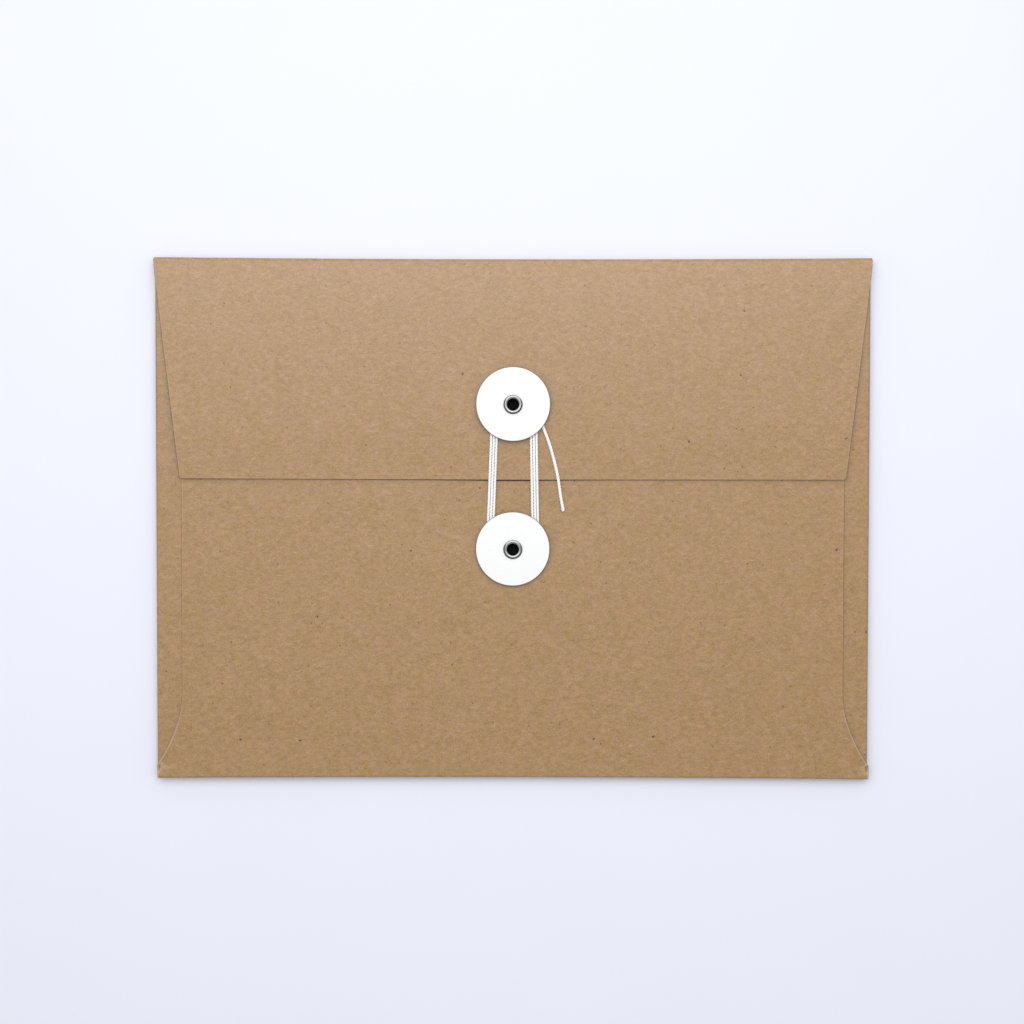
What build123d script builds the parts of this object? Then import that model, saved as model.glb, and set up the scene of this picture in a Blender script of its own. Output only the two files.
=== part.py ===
from build123d import *
import math
import os

import numpy

# A string tie envelope, lying on its front with the flap side up. Sizes are in millimetres.
# X runs across the envelope, +Y points to the fold of the flap and +Z points up.
# The origin is on the table, under the middle of the envelope.

# Paper blank
ENVELOPE_WIDTH = 184.15
ENVELOPE_HEIGHT = 133.35
PAPER = 0.3
POCKET_GAP = 1.0          # room in the empty pocket, front panel to back panel
GLUE = 0.05               # dried glue between a side flap and the back panel
FOLD_OVERHANG = 0.25      # how far the top and bottom folds stand out past the side folds

# Side flaps, folded in and glued under the back panel
SIDE_FLAP_WIDTH = 18.0
SIDE_FLAP_TAPER = 5.0     # how much sooner the inner edge of a side flap ends, at each end
SIDE_FOLD_TOP = 3.0       # length of side left without a fold, under the top fold
GLUE_MARGIN = 1.5         # bare paper between the glue and the edges that it joins

# Back panel, folded up from the bottom over the side flaps
SEAM_INSET = 6.7          # from a side of the envelope to the edge of the back panel
SEAM_CURVE_START = 22.0   # height above the bottom where that edge starts to curve outward
SEAM_FOOT = 3.4           # height above the bottom where it meets the side
THROAT_DEPTH = 12.0       # from the top fold down to the mouth of the pocket

# Closure flap
FLAP_DEPTH = 56.8
FLAP_TAPER = 6.5          # how far each lower corner lies in from the side of the envelope
FLAP_CORNER = 0.8

# Buttons: a card disc on an eyelet, held one string clear of the paper by a spacer
FLAP_BUTTON_SETBACK = 19.4   # from the flap's edge up to the middle of its button
BODY_BUTTON_SETBACK = 17.8   # from the flap's edge down to the middle of the other button
BUTTON_DIAMETER = 19.1
BUTTON_THICKNESS = 0.5
BUTTON_EDGE = 0.12           # rounding of the cut edge of the card
BUTTON_FLOAT = 0.05          # play above and below a disc, so that it turns
BUTTON_FIT = 0.05            # radial play of a disc on its eyelet
SPACER_DIAMETER = 7.0
EYELET_BORE = 3.2
EYELET_WALL = 0.3
EYELET_RIM_DIAMETER = 4.9
EYELET_RIM_HEIGHT = 0.4
EYELET_RIM_ROUND = 0.18
CLINCH_DIAMETER = 4.6
CLINCH_THICKNESS = 0.25
HOLE_FIT = 0.03              # radial play of an eyelet in paper and spacer
PATCH_DIAMETER = 11.0        # dark paper patch glued over the inner end of an eyelet
PATCH_THICKNESS = 0.15
PATCH_CLEARANCE = 0.1        # free height left under the flap's patch

# String
STRING_DIAMETER = 0.75
STRING_LOOPS = 3
STRAND_GAP = 0.42            # free space between neighbouring strands
GROOVE_PLAY = 0.16           # how much higher than the string the groove under a disc is
CORE_CLEARANCE = 0.03        # between the first turn and the spacer
STRAND_PAST_FLAP = 1.0       # where a strand starts down, past the flap's edge
STRAND_BEFORE_BUTTON = 0.8   # where it is down, short of the lower disc's rim
KNOT_DIAMETER = 0.82
KNOT_LENGTH = 1.3
ARC_SHARE = 0.45             # share of the shorter run that a bend takes up at a corner
GAP_STEP = 0.15              # spacing of the points on which the winding's gap is measured
GAP_SKIP = 4.0               # length of string beside a point that doesn't count as another turn

# Free end of the string, from where it leaves the winding: across, down from the middle of
# the flap's button, and up from the middle of the groove. The first point is the winding's end.
TAIL_POINTS = [
    (0.0, -4.9, 0.0),
    (1.6, -11.5, -0.03),
    (3.5, -20.0, -0.02),
    (4.4, -24.4, -0.46),
    (5.0, -27.9, -0.82),
]

# Heights of the layers
front_top = PAPER
back_bottom = front_top + POCKET_GAP
back_top = back_bottom + PAPER
side_top = back_bottom - GLUE
side_bottom = side_top - PAPER
flap_bottom = back_top + CLINCH_THICKNESS + PATCH_THICKNESS + PATCH_CLEARANCE
flap_top = flap_bottom + PAPER

# Folds: each is half a tube round an axis halfway up between the sheets that it joins
side_fold_radius = side_top / 2
bottom_fold_radius = back_top / 2
top_fold_radius = flap_top / 2

# Lines of the outline
half_width = ENVELOPE_WIDTH / 2
half_height = ENVELOPE_HEIGHT / 2
wide_half = half_width + FOLD_OVERHANG
side_line = half_width - side_fold_radius
bottom_line = -half_height + bottom_fold_radius
top_line = half_height - top_fold_radius
side_fold_low = -half_height + SEAM_FOOT
side_fold_high = half_height - SIDE_FOLD_TOP
seam_line = half_width - SEAM_INSET
throat_line = half_height - THROAT_DEPTH
flap_edge = half_height - FLAP_DEPTH
flap_button_y = flap_edge + FLAP_BUTTON_SETBACK
body_button_y = flap_edge - BODY_BUTTON_SETBACK

# Sizes of the buttons
groove = STRING_DIAMETER + GROOVE_PLAY
barrel_radius = EYELET_BORE / 2 + EYELET_WALL
hole_radius = barrel_radius + HOLE_FIT
grip = PAPER + groove + BUTTON_THICKNESS + 2 * BUTTON_FLOAT


def paper(outline, bottom):
    """A flat panel: a closed outline as thick as the paper."""
    return Pos(0, 0, bottom) * extrude(outline, amount=PAPER)


def mirrored_face(half_outline):
    """A face from the right half of its outline, which starts and ends on the middle line."""
    return make_face(half_outline + mirror(half_outline, about=Plane.YZ))


def half_tube(radius):
    """The section of a fold: half a ring in XY that bulges to +X, round the origin."""
    ring = Circle(radius) - Circle(radius - PAPER)
    keep = Pos(radius, 0) * Rectangle(2 * radius, 2 * radius)
    return ring & keep


def side_fold(side):
    """The fold along one side; side is 1 on the right and -1 on the left."""
    place = Plane(
        origin=(side * side_line, side_fold_low, side_fold_radius),
        x_dir=(side, 0, 0),
        z_dir=(0, 1, 0),
    )
    return extrude(place * half_tube(side_fold_radius), amount=side_fold_high - side_fold_low)


def cross_fold(line, radius, side):
    """A fold across the envelope, at the top (side is 1) or the bottom (side is -1)."""
    place = Plane(origin=(-wide_half, line, radius), x_dir=(0, side, 0), z_dir=(1, 0, 0))
    return extrude(place * half_tube(radius), amount=2 * wide_half)


def front_panel():
    """The plain front, full width at its ends and narrower between the side folds."""
    outline = Polyline(
        (0, bottom_line),
        (wide_half, bottom_line),
        (wide_half, side_fold_low),
        (side_line, side_fold_low),
        (side_line, side_fold_high),
        (wide_half, side_fold_high),
        (wide_half, top_line),
        (0, top_line),
    )
    return paper(mirrored_face(outline), 0)


def side_flap(side):
    """A side flap, narrowing to its inner edge at both ends."""
    inner = side_line - SIDE_FLAP_WIDTH
    outline = Polyline(
        (side * side_line, side_fold_low),
        (side * side_line, side_fold_high),
        (side * inner, side_fold_high - SIDE_FLAP_TAPER),
        (side * inner, side_fold_low + SIDE_FLAP_TAPER),
        close=True,
    )
    return paper(make_face(outline), side_bottom)


def back_panel():
    """The back, whose long edges curve out to the sides near the bottom fold."""
    curve_start = (seam_line, -half_height + SEAM_CURVE_START)
    foot = (wide_half, side_fold_low)
    lower = Polyline((0, bottom_line), (wide_half, bottom_line), foot)
    curve = TangentArc(curve_start, foot, tangent=(0, -1))
    upper = Polyline(curve_start, (seam_line, throat_line), (0, throat_line))
    panel = paper(mirrored_face(lower + curve + upper), back_bottom)
    return panel - button_hole(body_button_y, back_bottom)


def seam_glue(side):
    """The glue between a side flap and the back panel."""
    outer = seam_line - GLUE_MARGIN
    inner = side_line - SIDE_FLAP_WIDTH + GLUE_MARGIN
    low = -half_height + SEAM_CURVE_START
    high = throat_line - GLUE_MARGIN
    outline = Rectangle(outer - inner, high - low)
    return Pos(side * (outer + inner) / 2, (high + low) / 2, side_top) * extrude(outline, amount=GLUE)


def closure_flap():
    """The flap, narrower at its edge, with rounded lower corners."""
    low_half = half_width - FLAP_TAPER
    outline = make_face(
        Polyline(
            (-wide_half, top_line),
            (wide_half, top_line),
            (low_half, flap_edge),
            (-low_half, flap_edge),
            close=True,
        )
    )
    outline = fillet(outline.vertices().sort_by(Axis.Y)[:2], FLAP_CORNER)
    return paper(outline, flap_bottom) - button_hole(flap_button_y, flap_bottom)


def button_hole(button_y, bottom):
    """The hole that is punched through a panel for an eyelet."""
    return Pos(0, button_y, bottom + PAPER / 2) * Cylinder(hole_radius, 2 * PAPER)


def turned(profile, button_y):
    """A round piece: a closed profile of radius and height, turned about a button's middle."""
    return Pos(0, button_y, 0) * revolve(Plane.XZ * profile, axis=Axis.Z)


def spacer(button_y, seat):
    """The small washer under a disc, which the string winds round."""
    ring = Circle(SPACER_DIAMETER / 2) - Circle(hole_radius)
    return Pos(0, button_y, seat) * extrude(ring, amount=groove)


def disc(button_y, seat):
    """A card disc with softened edges, loose on its eyelet."""
    ring = Circle(BUTTON_DIAMETER / 2) - Circle(barrel_radius + BUTTON_FIT)
    card = Pos(0, button_y, seat + groove + BUTTON_FLOAT) * extrude(ring, amount=BUTTON_THICKNESS)
    rim = card.edges().filter_by(GeomType.CIRCLE).sort_by(lambda edge: edge.radius)[-2:]
    return fillet(rim, BUTTON_EDGE)


def eyelet(button_y, seat):
    """A metal eyelet: rolled rim over the disc, barrel, and clinch under the paper."""
    bore = EYELET_BORE / 2
    paper_bottom = seat - PAPER
    rim_bottom = paper_bottom + grip
    rim_top = rim_bottom + EYELET_RIM_HEIGHT
    profile = make_face(
        Polyline(
            (bore, paper_bottom - CLINCH_THICKNESS),
            (CLINCH_DIAMETER / 2, paper_bottom - CLINCH_THICKNESS),
            (CLINCH_DIAMETER / 2, paper_bottom),
            (barrel_radius, paper_bottom),
            (barrel_radius, rim_bottom),
            (EYELET_RIM_DIAMETER / 2, rim_bottom),
            (EYELET_RIM_DIAMETER / 2, rim_top),
            (bore, rim_top),
            close=True,
        )
    )
    profile = fillet(profile.vertices().sort_by(Axis.Y)[-2:], EYELET_RIM_ROUND)
    return turned(profile, button_y)


def eyelet_patch(button_y, seat):
    """A thin patch, pressed over the clinch and glued to the paper round it."""
    crown = CLINCH_DIAMETER / 2 + HOLE_FIT
    brim_top = seat - PAPER
    crown_top = brim_top - CLINCH_THICKNESS
    profile = make_face(
        Polyline(
            (0, crown_top),
            (crown, crown_top),
            (crown, brim_top),
            (PATCH_DIAMETER / 2, brim_top),
            (PATCH_DIAMETER / 2, brim_top - PATCH_THICKNESS),
            (crown + PATCH_THICKNESS, brim_top - PATCH_THICKNESS),
            (crown + PATCH_THICKNESS, crown_top - PATCH_THICKNESS),
            (0, crown_top - PATCH_THICKNESS),
            close=True,
        )
    )
    return turned(profile, button_y)


# Route of the string, clockwise from above: over the flap's button, down on the right,
# under the other button and up on the left
strand_pitch = STRING_DIAMETER + STRAND_GAP
first_turn = SPACER_DIAMETER / 2 + CORE_CLEARANCE + STRING_DIAMETER / 2
upper_groove = flap_top + groove / 2
lower_groove = back_top + groove / 2
drop_start = flap_edge - STRAND_PAST_FLAP
drop_end = body_button_y + BUTTON_DIAMETER / 2 + STRAND_BEFORE_BUTTON


def strand_x(count):
    """How far across a strand lies: even ones on the left, odd ones on the right."""
    reach = first_turn + count * strand_pitch / 2
    return reach if count % 2 else -reach


def bend_radii(points):
    """The radius of the bend at each inner point of a route."""
    radii = []
    for before, corner, after in zip(points, points[1:], points[2:]):
        run_in = Vector(corner) - Vector(before)
        run_out = Vector(after) - Vector(corner)
        half_turn = math.radians(run_in.get_angle(run_out)) / 2
        radii.append(ARC_SHARE * min(run_in.length, run_out.length) / math.tan(half_turn))
    return radii


def strand(count):
    """One strand between the buttons, stepping down past the flap's edge; odd ones run down."""
    across = strand_x(count)
    points = [
        (across, flap_button_y, upper_groove),
        (across, drop_start, upper_groove),
        (across, drop_end, lower_groove),
        (across, body_button_y, lower_groove),
    ]
    if count % 2 == 0:
        points.reverse()
    return FilletPolyline(*points, radius=bend_radii(points))


def half_turn(count):
    """The half turn round a button that joins strand count to the next one."""
    start = strand_x(count)
    end = strand_x(count + 1)
    radius = abs(end - start) / 2
    if count % 2:
        button_y, height, side = body_button_y, lower_groove, -1
    else:
        button_y, height, side = flap_button_y, upper_groove, 1
    return ThreePointArc(
        (start, button_y, height),
        ((start + end) / 2, button_y + side * radius, height),
        (end, button_y, height),
    )


last_strand = 2 * STRING_LOOPS + 1
winding_end_y = flap_button_y - STRING_DIAMETER


def winding_path():
    """The wound string, with a straight end of one diameter at the knot and at the free end."""
    edges = [
        Line((strand_x(0), winding_end_y, upper_groove), (strand_x(0), flap_button_y, upper_groove)),
        half_turn(0),
    ]
    for count in range(1, last_strand):
        edges += [strand(count), half_turn(count)]
    free_x = strand_x(last_strand)
    edges.append(Line((free_x, flap_button_y, upper_groove), (free_x, winding_end_y, upper_groove)))
    return Wire([edge for piece in edges for edge in piece.edges()])


def tail_path():
    """The free end of the string, which lies on the flap and then on the back panel."""
    free_x = strand_x(last_strand)
    points = [(free_x, winding_end_y, upper_groove)]
    for across, down, up in TAIL_POINTS:
        points.append((free_x + across, flap_button_y + down, upper_groove + up))
    radii = bend_radii(points)
    print("string_tail bend radii, mm:", [round(radius, 1) for radius in radii])
    return FilletPolyline(*points, radius=radii)


def string(name, path):
    """A round tube of string along a path, with its volume compared with section times length."""
    section = Plane(origin=path @ 0, z_dir=path % 0) * Circle(STRING_DIAMETER / 2)
    tube = sweep(section, path=path)
    plain_volume = math.pi * STRING_DIAMETER**2 / 4 * path.length
    print(f"{name}: length {path.length:.1f} mm, volume {tube.volume / plain_volume:.4f} of section times length")
    return tube


def least_gap(path):
    """The least free space between a winding and itself, on points along it."""
    points = []
    for edge in path.order_edges():
        steps = math.ceil(edge.length / GAP_STEP)
        points += [tuple(edge @ (index / steps)) for index in range(steps)]
    places = numpy.array(points)
    skip = round(GAP_SKIP / GAP_STEP)
    least = path.length
    for index in range(len(places) - skip):
        apart = numpy.linalg.norm(places[index + skip:] - places[index], axis=1)
        least = min(least, apart.min())
    return least - STRING_DIAMETER


def string_knot():
    """The knot that ties the string to the flap's button, under its disc."""
    place = Plane(origin=(strand_x(0), winding_end_y, upper_groove), z_dir=(0, -1, 0))
    knot = extrude(place * Circle(KNOT_DIAMETER / 2), amount=KNOT_LENGTH)
    far_edge = knot.edges().sort_by(Axis.Y)[0]
    return fillet(far_edge, KNOT_DIAMETER / 4)


winding = winding_path()
print(f"string_winding: least gap to itself {least_gap(winding):.3f} mm")

pieces = {
    "front_panel": front_panel(),
    "left_fold": side_fold(-1),
    "right_fold": side_fold(1),
    "bottom_fold": cross_fold(bottom_line, bottom_fold_radius, -1),
    "top_fold": cross_fold(top_line, top_fold_radius, 1),
    "left_side_flap": side_flap(-1),
    "right_side_flap": side_flap(1),
    "left_seam_glue": seam_glue(-1),
    "right_seam_glue": seam_glue(1),
    "back_panel": back_panel(),
    "body_button_spacer": spacer(body_button_y, back_top),
    "body_button": disc(body_button_y, back_top),
    "body_eyelet": eyelet(body_button_y, back_top),
    "body_eyelet_patch": eyelet_patch(body_button_y, back_top),
    "closure_flap": closure_flap(),
    "flap_button_spacer": spacer(flap_button_y, flap_top),
    "flap_button": disc(flap_button_y, flap_top),
    "flap_eyelet": eyelet(flap_button_y, flap_top),
    "flap_eyelet_patch": eyelet_patch(flap_button_y, flap_top),
    "string_knot": string_knot(),
    "string_winding": string("string_winding", winding),
    "string_tail": string("string_tail", tail_path()),
}

os.makedirs("parts", exist_ok=True)
for name, piece in pieces.items():
    export_step(piece, f"parts/{name}.step")
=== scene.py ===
import math

import bpy
import numpy as np
from bpy.props import FloatProperty, FloatVectorProperty, IntProperty, PointerProperty
from mathutils import Matrix, Vector


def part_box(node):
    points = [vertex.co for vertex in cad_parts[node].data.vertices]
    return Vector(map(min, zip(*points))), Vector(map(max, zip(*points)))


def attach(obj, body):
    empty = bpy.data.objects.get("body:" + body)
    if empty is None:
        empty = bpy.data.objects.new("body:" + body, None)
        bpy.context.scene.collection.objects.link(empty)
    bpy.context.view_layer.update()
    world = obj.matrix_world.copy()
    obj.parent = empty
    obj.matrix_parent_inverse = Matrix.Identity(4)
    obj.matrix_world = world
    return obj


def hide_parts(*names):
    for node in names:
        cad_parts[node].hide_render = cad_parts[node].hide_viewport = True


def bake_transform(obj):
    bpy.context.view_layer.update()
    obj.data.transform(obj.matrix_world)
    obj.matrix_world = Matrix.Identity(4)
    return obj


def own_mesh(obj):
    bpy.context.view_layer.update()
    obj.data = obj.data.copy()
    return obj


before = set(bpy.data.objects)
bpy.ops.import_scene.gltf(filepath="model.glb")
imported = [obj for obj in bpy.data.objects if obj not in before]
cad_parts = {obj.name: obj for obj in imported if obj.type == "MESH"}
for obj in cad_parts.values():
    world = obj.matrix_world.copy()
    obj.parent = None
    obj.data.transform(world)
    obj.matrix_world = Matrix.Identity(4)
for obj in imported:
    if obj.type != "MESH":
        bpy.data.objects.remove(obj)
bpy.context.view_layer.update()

bl_info = {
    "name": "String Tie Envelope",
    "version": (1, 0, 0),
    "blender": (4, 5, 0),
    "location": "View3D > Sidebar > Envelope",
    "description": "Kraft paper envelope with two card buttons and a wound string",
    "category": "Object",
}

# Places and sizes read from the frame, in metres
MM = 0.001
front_low, front_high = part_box("front_panel")
side_fold_low, side_fold_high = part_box("right_fold")
side_flap_low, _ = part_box("right_side_flap")
bottom_low, bottom_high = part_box("bottom_fold")
back_low, back_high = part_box("back_panel")
_, top_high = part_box("top_fold")
flap_low, flap_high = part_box("closure_flap")

PAPER = front_high.z - front_low.z
half_height = top_high.y
wide_half = top_high.x
body_half = side_fold_high.x
side_line = side_fold_low.x
bottom_line = back_low.y
top_line = flap_high.y
flap_edge = flap_low.y
flap_depth = top_line - flap_edge


def button_middle(node):
    """The middle of a button, on the plane through the underside of its disc."""
    low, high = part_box(node)
    return Vector(((low.x + high.x) / 2, (low.y + high.y) / 2, low.z))


flap_button = button_middle("flap_button")
body_button = button_middle("body_button")


def paint(name, description, default):
    """A property for a colour."""
    return FloatVectorProperty(
        name=name, description=description, default=default, size=3, subtype="COLOR", min=0, max=1,
    )


def length(name, description, default):
    """A property for a length."""
    return FloatProperty(name=name, description=description, default=default, unit="LENGTH")


class PaperSettings(bpy.types.PropertyGroup):
    """The folded sheet of paper."""

    warm: paint("Warm Tone", "Kraft paper where it is warmer", (0.3685, 0.2045, 0.0835))
    cool: paint("Cool Tone", "Kraft paper where it is yellower", (0.3545, 0.2065, 0.072))
    pale_fibre: paint("Pale Fibre", "Bleached fibres in the paper", (0.62, 0.47, 0.33))
    grain: paint(
        "Grain", "How much of each colour the grain of the paper adds or takes away", (0.42, 0.31, 0.23),
    )
    # The dark fibre colour also paints shade on the outer band of each side fold, where it turns away from
    # the light
    dark_fibre: paint("Dark Fibre", "Dark fibres, and the rubbed side folds", (0.085, 0.042, 0.018))
    # Raw edge colour: partly the darker fibres of a cut, partly painted shade for the dark lines at the
    # flap's edge and the seams
    raw_edge: paint("Raw Edge", "Shaded fibres on the cut edges of the paper", (0.035, 0.014, 0.004))
    fleck: paint("Fleck", "Small brown flecks in the paper", (0.165, 0.06, 0.0))
    bark: paint("Bark", "The few dark specks of bark in the paper", (0.05, 0.008, 0.0))
    flap_taper: length(
        "Flap Taper", "How far each lower corner of the flap lies in from the side", 6.4 * MM,
    )
    flap_corner: length("Flap Corner", "Radius of the flap's lower corners", 0.8 * MM)
    flap_skew: length("Flap Skew", "How far the flap's edge has moved to the right of the fold", 0.05 * MM)
    flap_tip: length(
        "Flap Tip", "How much higher the flap's edge lies at its left end than at its right", 0.2 * MM,
    )
    seam_inset: length("Seam Inset", "From a side of the envelope to the edge of the back panel", 6.7 * MM)
    seam_curve: length(
        "Seam Curve", "Height above the bottom where that edge starts to curve outward", 22.0 * MM,
    )
    side_taper: length("Side Flap Taper", "How much sooner the inner edge of a side flap ends", 5.0 * MM)
    crease_drop: length("Crease Drop", "How much lower the flap lies at its fold", 0.95 * MM)
    edge_drop: length(
        "Edge Drop", "How far the string draws the flap's edge down to the back panel", 0.22 * MM,
    )
    corner_lift: length("Corner Lift", "How far the flap's lower corners spring up again", 0.14 * MM)
    seam_lift: length("Seam Lift", "How far the back panel's right edge has sprung open", 0.11 * MM)
    curve_lift: length(
        "Curve Lift", "How far the back panel's edge has sprung open where it curves outward", 0.26 * MM,
    )
    top_give: length("Top Give", "How far the top fold stands out from a sharp crease", 0.03 * MM)
    bottom_give: length("Bottom Give", "How far the bottom fold stands out from a sharp crease", 0.48 * MM)
    bottom_skew: length(
        "Bottom Skew", "How much lower the bottom fold lies at its right end than in the middle", 0.13 * MM,
    )
    fold_bow: length(
        "Fold Bow", "How much further the corners stand out than the middle of a fold", 0.43 * MM,
    )
    foot_trim: length(
        "Foot Trim", "How much shorter than the top fold the bottom fold is at each end", 0.27 * MM,
    )
    foot_shift: length("Foot Shift", "How far to the right the bottom fold lies", 0.13 * MM)
    belly: length("Belly", "How far the middle of the front hangs below its edges", 0.9 * MM)
    grid: length("Grid", "Spacing of the mesh in the flat of a panel", 3.0 * MM)


class ButtonSettings(bpy.types.PropertyGroup):
    """The two card buttons and their eyelets."""

    card: paint("Card", "White card of the discs and spacers", (0.93, 0.932, 0.935))
    metal: paint("Metal", "Nickel plating of the eyelets", (0.455, 0.455, 0.455))
    card_edge: length("Card Edge", "Rounding of a disc's cut edge", 0.16 * MM)
    card_dent: length("Card Dent", "How far the eyelet presses into the card", 0.04 * MM)
    # Card core colour: partly the card's grey core, partly painted shade for the dark outline round a disc
    card_core: paint("Card Core", "Grey core of the card, seen on a disc's cut edge", (0.2, 0.185, 0.17))
    # Tarnish colour: partly dull metal, partly painted shade and dark reflection on the rim's outer flank
    tarnish_and_shade: paint("Tarnish", "Dull metal in the crevice round an eyelet's rim", (0.115, 0.115, 0.117))
    card_cup: length("Card Cup", "How far a disc's rim is bent down", 0.19 * MM)
    card_tilt: length(
        "Card Tilt", "How far the body's disc is pulled down on the side away from the flap", 0.06 * MM,
    )
    card_warp: length("Card Warp", "How far a disc's rim waves up and down", 0.02 * MM)
    flap_shift: FloatVectorProperty(
        name="Flap Disc Shift", description="How far the flap's disc is cut off the middle of its hole",
        default=(0.04 * MM, 0.12 * MM), size=2, subtype="XYZ", unit="LENGTH",
    )
    body_shift: FloatVectorProperty(
        name="Body Disc Shift", description="How far the body's disc is cut off the middle of its hole",
        default=(-0.03 * MM, 0.12 * MM), size=2, subtype="XYZ", unit="LENGTH",
    )
    bore: length("Bore", "Radius of the hole through an eyelet", 1.5 * MM)
    barrel: length("Barrel", "Outer radius of an eyelet's barrel", 1.9 * MM)
    clinch: length("Clinch", "Radius of an eyelet's inner end", 2.3 * MM)
    segments: IntProperty(name="Segments", description="Steps round a turned piece", default=128, min=16)


class StringSettings(bpy.types.PropertyGroup):
    """The cotton string."""

    cotton: paint("Cotton", "Bleached cotton", (0.955, 0.958, 0.97))
    diameter: length("Diameter", "Outer diameter of the string where it is pulled tight", 0.67 * MM)
    slack: FloatProperty(
        name="Slack", description="How much thicker the string is at its free end",
        default=1.2, min=1,
    )
    pitch: length("Pitch", "From one strand to the next one beside it", 0.7 * MM)
    loops: IntProperty(name="Loops", description="Turns of string round both buttons", default=3, min=1)
    upper_turn: length("Upper Turn", "Radius of the first turn round the flap's button", 3.96 * MM)
    lower_turn: length("Lower Turn", "Radius of the first turn round the body's button", 4.7 * MM)
    upper_shift: length(
        "Upper Shift", "How far to the right the strands leave the flap's button", 0.48 * MM,
    )
    pinch: length(
        "Pinch", "How much closer together the strands lie where they leave the flap's button", 0.31 * MM,
    )
    lower_shift: length("Lower Shift", "How far the turns lie to the right on the body's button", 0.14 * MM)
    plies: IntProperty(name="Plies", description="Yarns twisted together", default=3, min=2)
    twist: length("Twist", "Length of string in one turn of the twist", 2.4 * MM)
    splay: FloatProperty(
        name="Splay", description="How much wider the yarns lie at the cut end",
        default=0.3, min=0,
    )


class StageSettings(bpy.types.PropertyGroup):
    """The floor, the light and the camera."""

    floor: paint("Floor", "Pale table top", (0.85, 0.87, 0.98))
    sky: paint("Sky", "Light from all round", (1.0, 1.0, 1.0))
    sky_strength: FloatProperty(
        name="Sky Strength", description="Strength of the light from all round",
        default=0.78, min=0,
    )
    sky_lean: FloatVectorProperty(
        name="Sky Lean", description="How much brighter the sky is to the right, to the back and overhead",
        default=(-0.12, 0.5, 0.0), size=3, subtype="DIRECTION",
    )
    window_power: FloatProperty(
        name="Window Power", description="Power of the large soft light",
        default=0.62, unit="POWER",
    )
    window_place: FloatVectorProperty(
        name="Window Place", description="Middle of the large soft light",
        default=(-0.01, 0.17, 0.33), size=3, subtype="TRANSLATION", unit="LENGTH",
    )
    camera_place: FloatVectorProperty(
        name="Camera Place", description="Where the picture is taken from",
        default=(-0.00116, 0.012812, 0.4), size=3, subtype="TRANSLATION", unit="LENGTH",
    )
    camera_turn: FloatVectorProperty(
        name="Camera Turn", description="Turn of the camera from straight down",
        default=(-0.027958, -0.002325, 0.001208), size=3, subtype="EULER", unit="ROTATION",
    )
    camera_lens: FloatProperty(
        name="Lens", description="Focal length in millimetres",
        default=54.336, min=1,
    )


# Node trees


class Sketch:
    """Places nodes in a tree and links them, so that a tree reads as a list of steps."""

    def __init__(self, tree):
        self.tree = tree

    def place(self, kind, inputs=(), **settings):
        node = self.tree.nodes.new(kind)
        for name, value in settings.items():
            setattr(node, name, value)
        for key, value in dict(inputs).items():
            self.feed(node.inputs[key], value)
        return node

    def feed(self, socket, value):
        if isinstance(value, bpy.types.NodeSocket):
            self.tree.links.new(value, socket)
        else:
            socket.default_value = value

    def math(self, operation, *values):
        return self.place("ShaderNodeMath", enumerate(values), operation=operation).outputs[0]

    def times(self, first, second):
        return self.math("MULTIPLY", first, second)

    def plus(self, first, second):
        return self.math("ADD", first, second)

    def vector(self, operation, *values):
        return self.place("ShaderNodeVectorMath", enumerate(values), operation=operation).outputs[0]

    def scaled(self, vector, factor):
        return self.place("ShaderNodeVectorMath", {0: vector, "Scale": factor}, operation="SCALE").outputs[0]

    def step(self, value, start, end, low=0.0, high=1.0):
        """A smooth step from low to high as value goes from start to end."""
        inputs = {"Value": value, "From Min": start, "From Max": end, "To Min": low, "To Max": high}
        return self.place("ShaderNodeMapRange", inputs, interpolation_type="SMOOTHSTEP").outputs[0]

    def mix(self, factor, first, second):
        inputs = {0: factor, 6: first, 7: second}
        return self.place("ShaderNodeMix", inputs, data_type="RGBA").outputs[2]

    def noise(self, vector, scale, detail, roughness=0.55):
        inputs = {"Vector": vector, "Scale": scale, "Detail": detail, "Roughness": roughness}
        return self.place("ShaderNodeTexNoise", inputs, noise_dimensions="3D").outputs[0]

    def turned(self, vector, turn):
        """A vector turned about all three axes, so that a pattern doesn't line up with the sheet."""
        inputs = {"Vector": vector, "Rotation": (0.5 + turn, 0.4, 0.6 + turn)}
        return self.place("ShaderNodeVectorRotate", inputs, rotation_type="EULER_XYZ").outputs[0]

    def on_piece(self):
        """The place on a piece, in its own coordinates."""
        return self.place("ShaderNodeTexCoord").outputs["Object"]

    def marked(self, name):
        """A value that a mesh holds for each of its points or faces."""
        return self.place("ShaderNodeAttribute", attribute_name=name).outputs["Fac"]

    def group(self, tree, **inputs):
        """The outputs of a shader group, with its inputs fed; their names have _ for a space."""
        node = self.place("ShaderNodeGroup", node_tree=tree)
        for name, value in inputs.items():
            self.feed(node.inputs[name.replace("_", " ")], value)
        return node.outputs


SOCKETS = {float: "NodeSocketFloat", int: "NodeSocketInt"}


def node_group(name, kind, inputs, outputs, made):
    """A new group: a sketch of it, what comes in and what goes out. An input is given by its default
    number or else by its kind of socket, and made is the kind of all its outputs."""
    tree = bpy.data.node_groups.new(name, kind)
    for label, given in inputs.items():
        number = type(given) in SOCKETS
        socket_kind = SOCKETS[type(given)] if number else given
        socket = tree.interface.new_socket(name=label, in_out="INPUT", socket_type=socket_kind)
        if number:
            socket.default_value = given
    for label in outputs:
        tree.interface.new_socket(name=label, in_out="OUTPUT", socket_type=made)
    source = tree.nodes.new("NodeGroupInput")
    sink = tree.nodes.new("NodeGroupOutput")
    return Sketch(tree), source.outputs, sink.inputs


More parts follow.
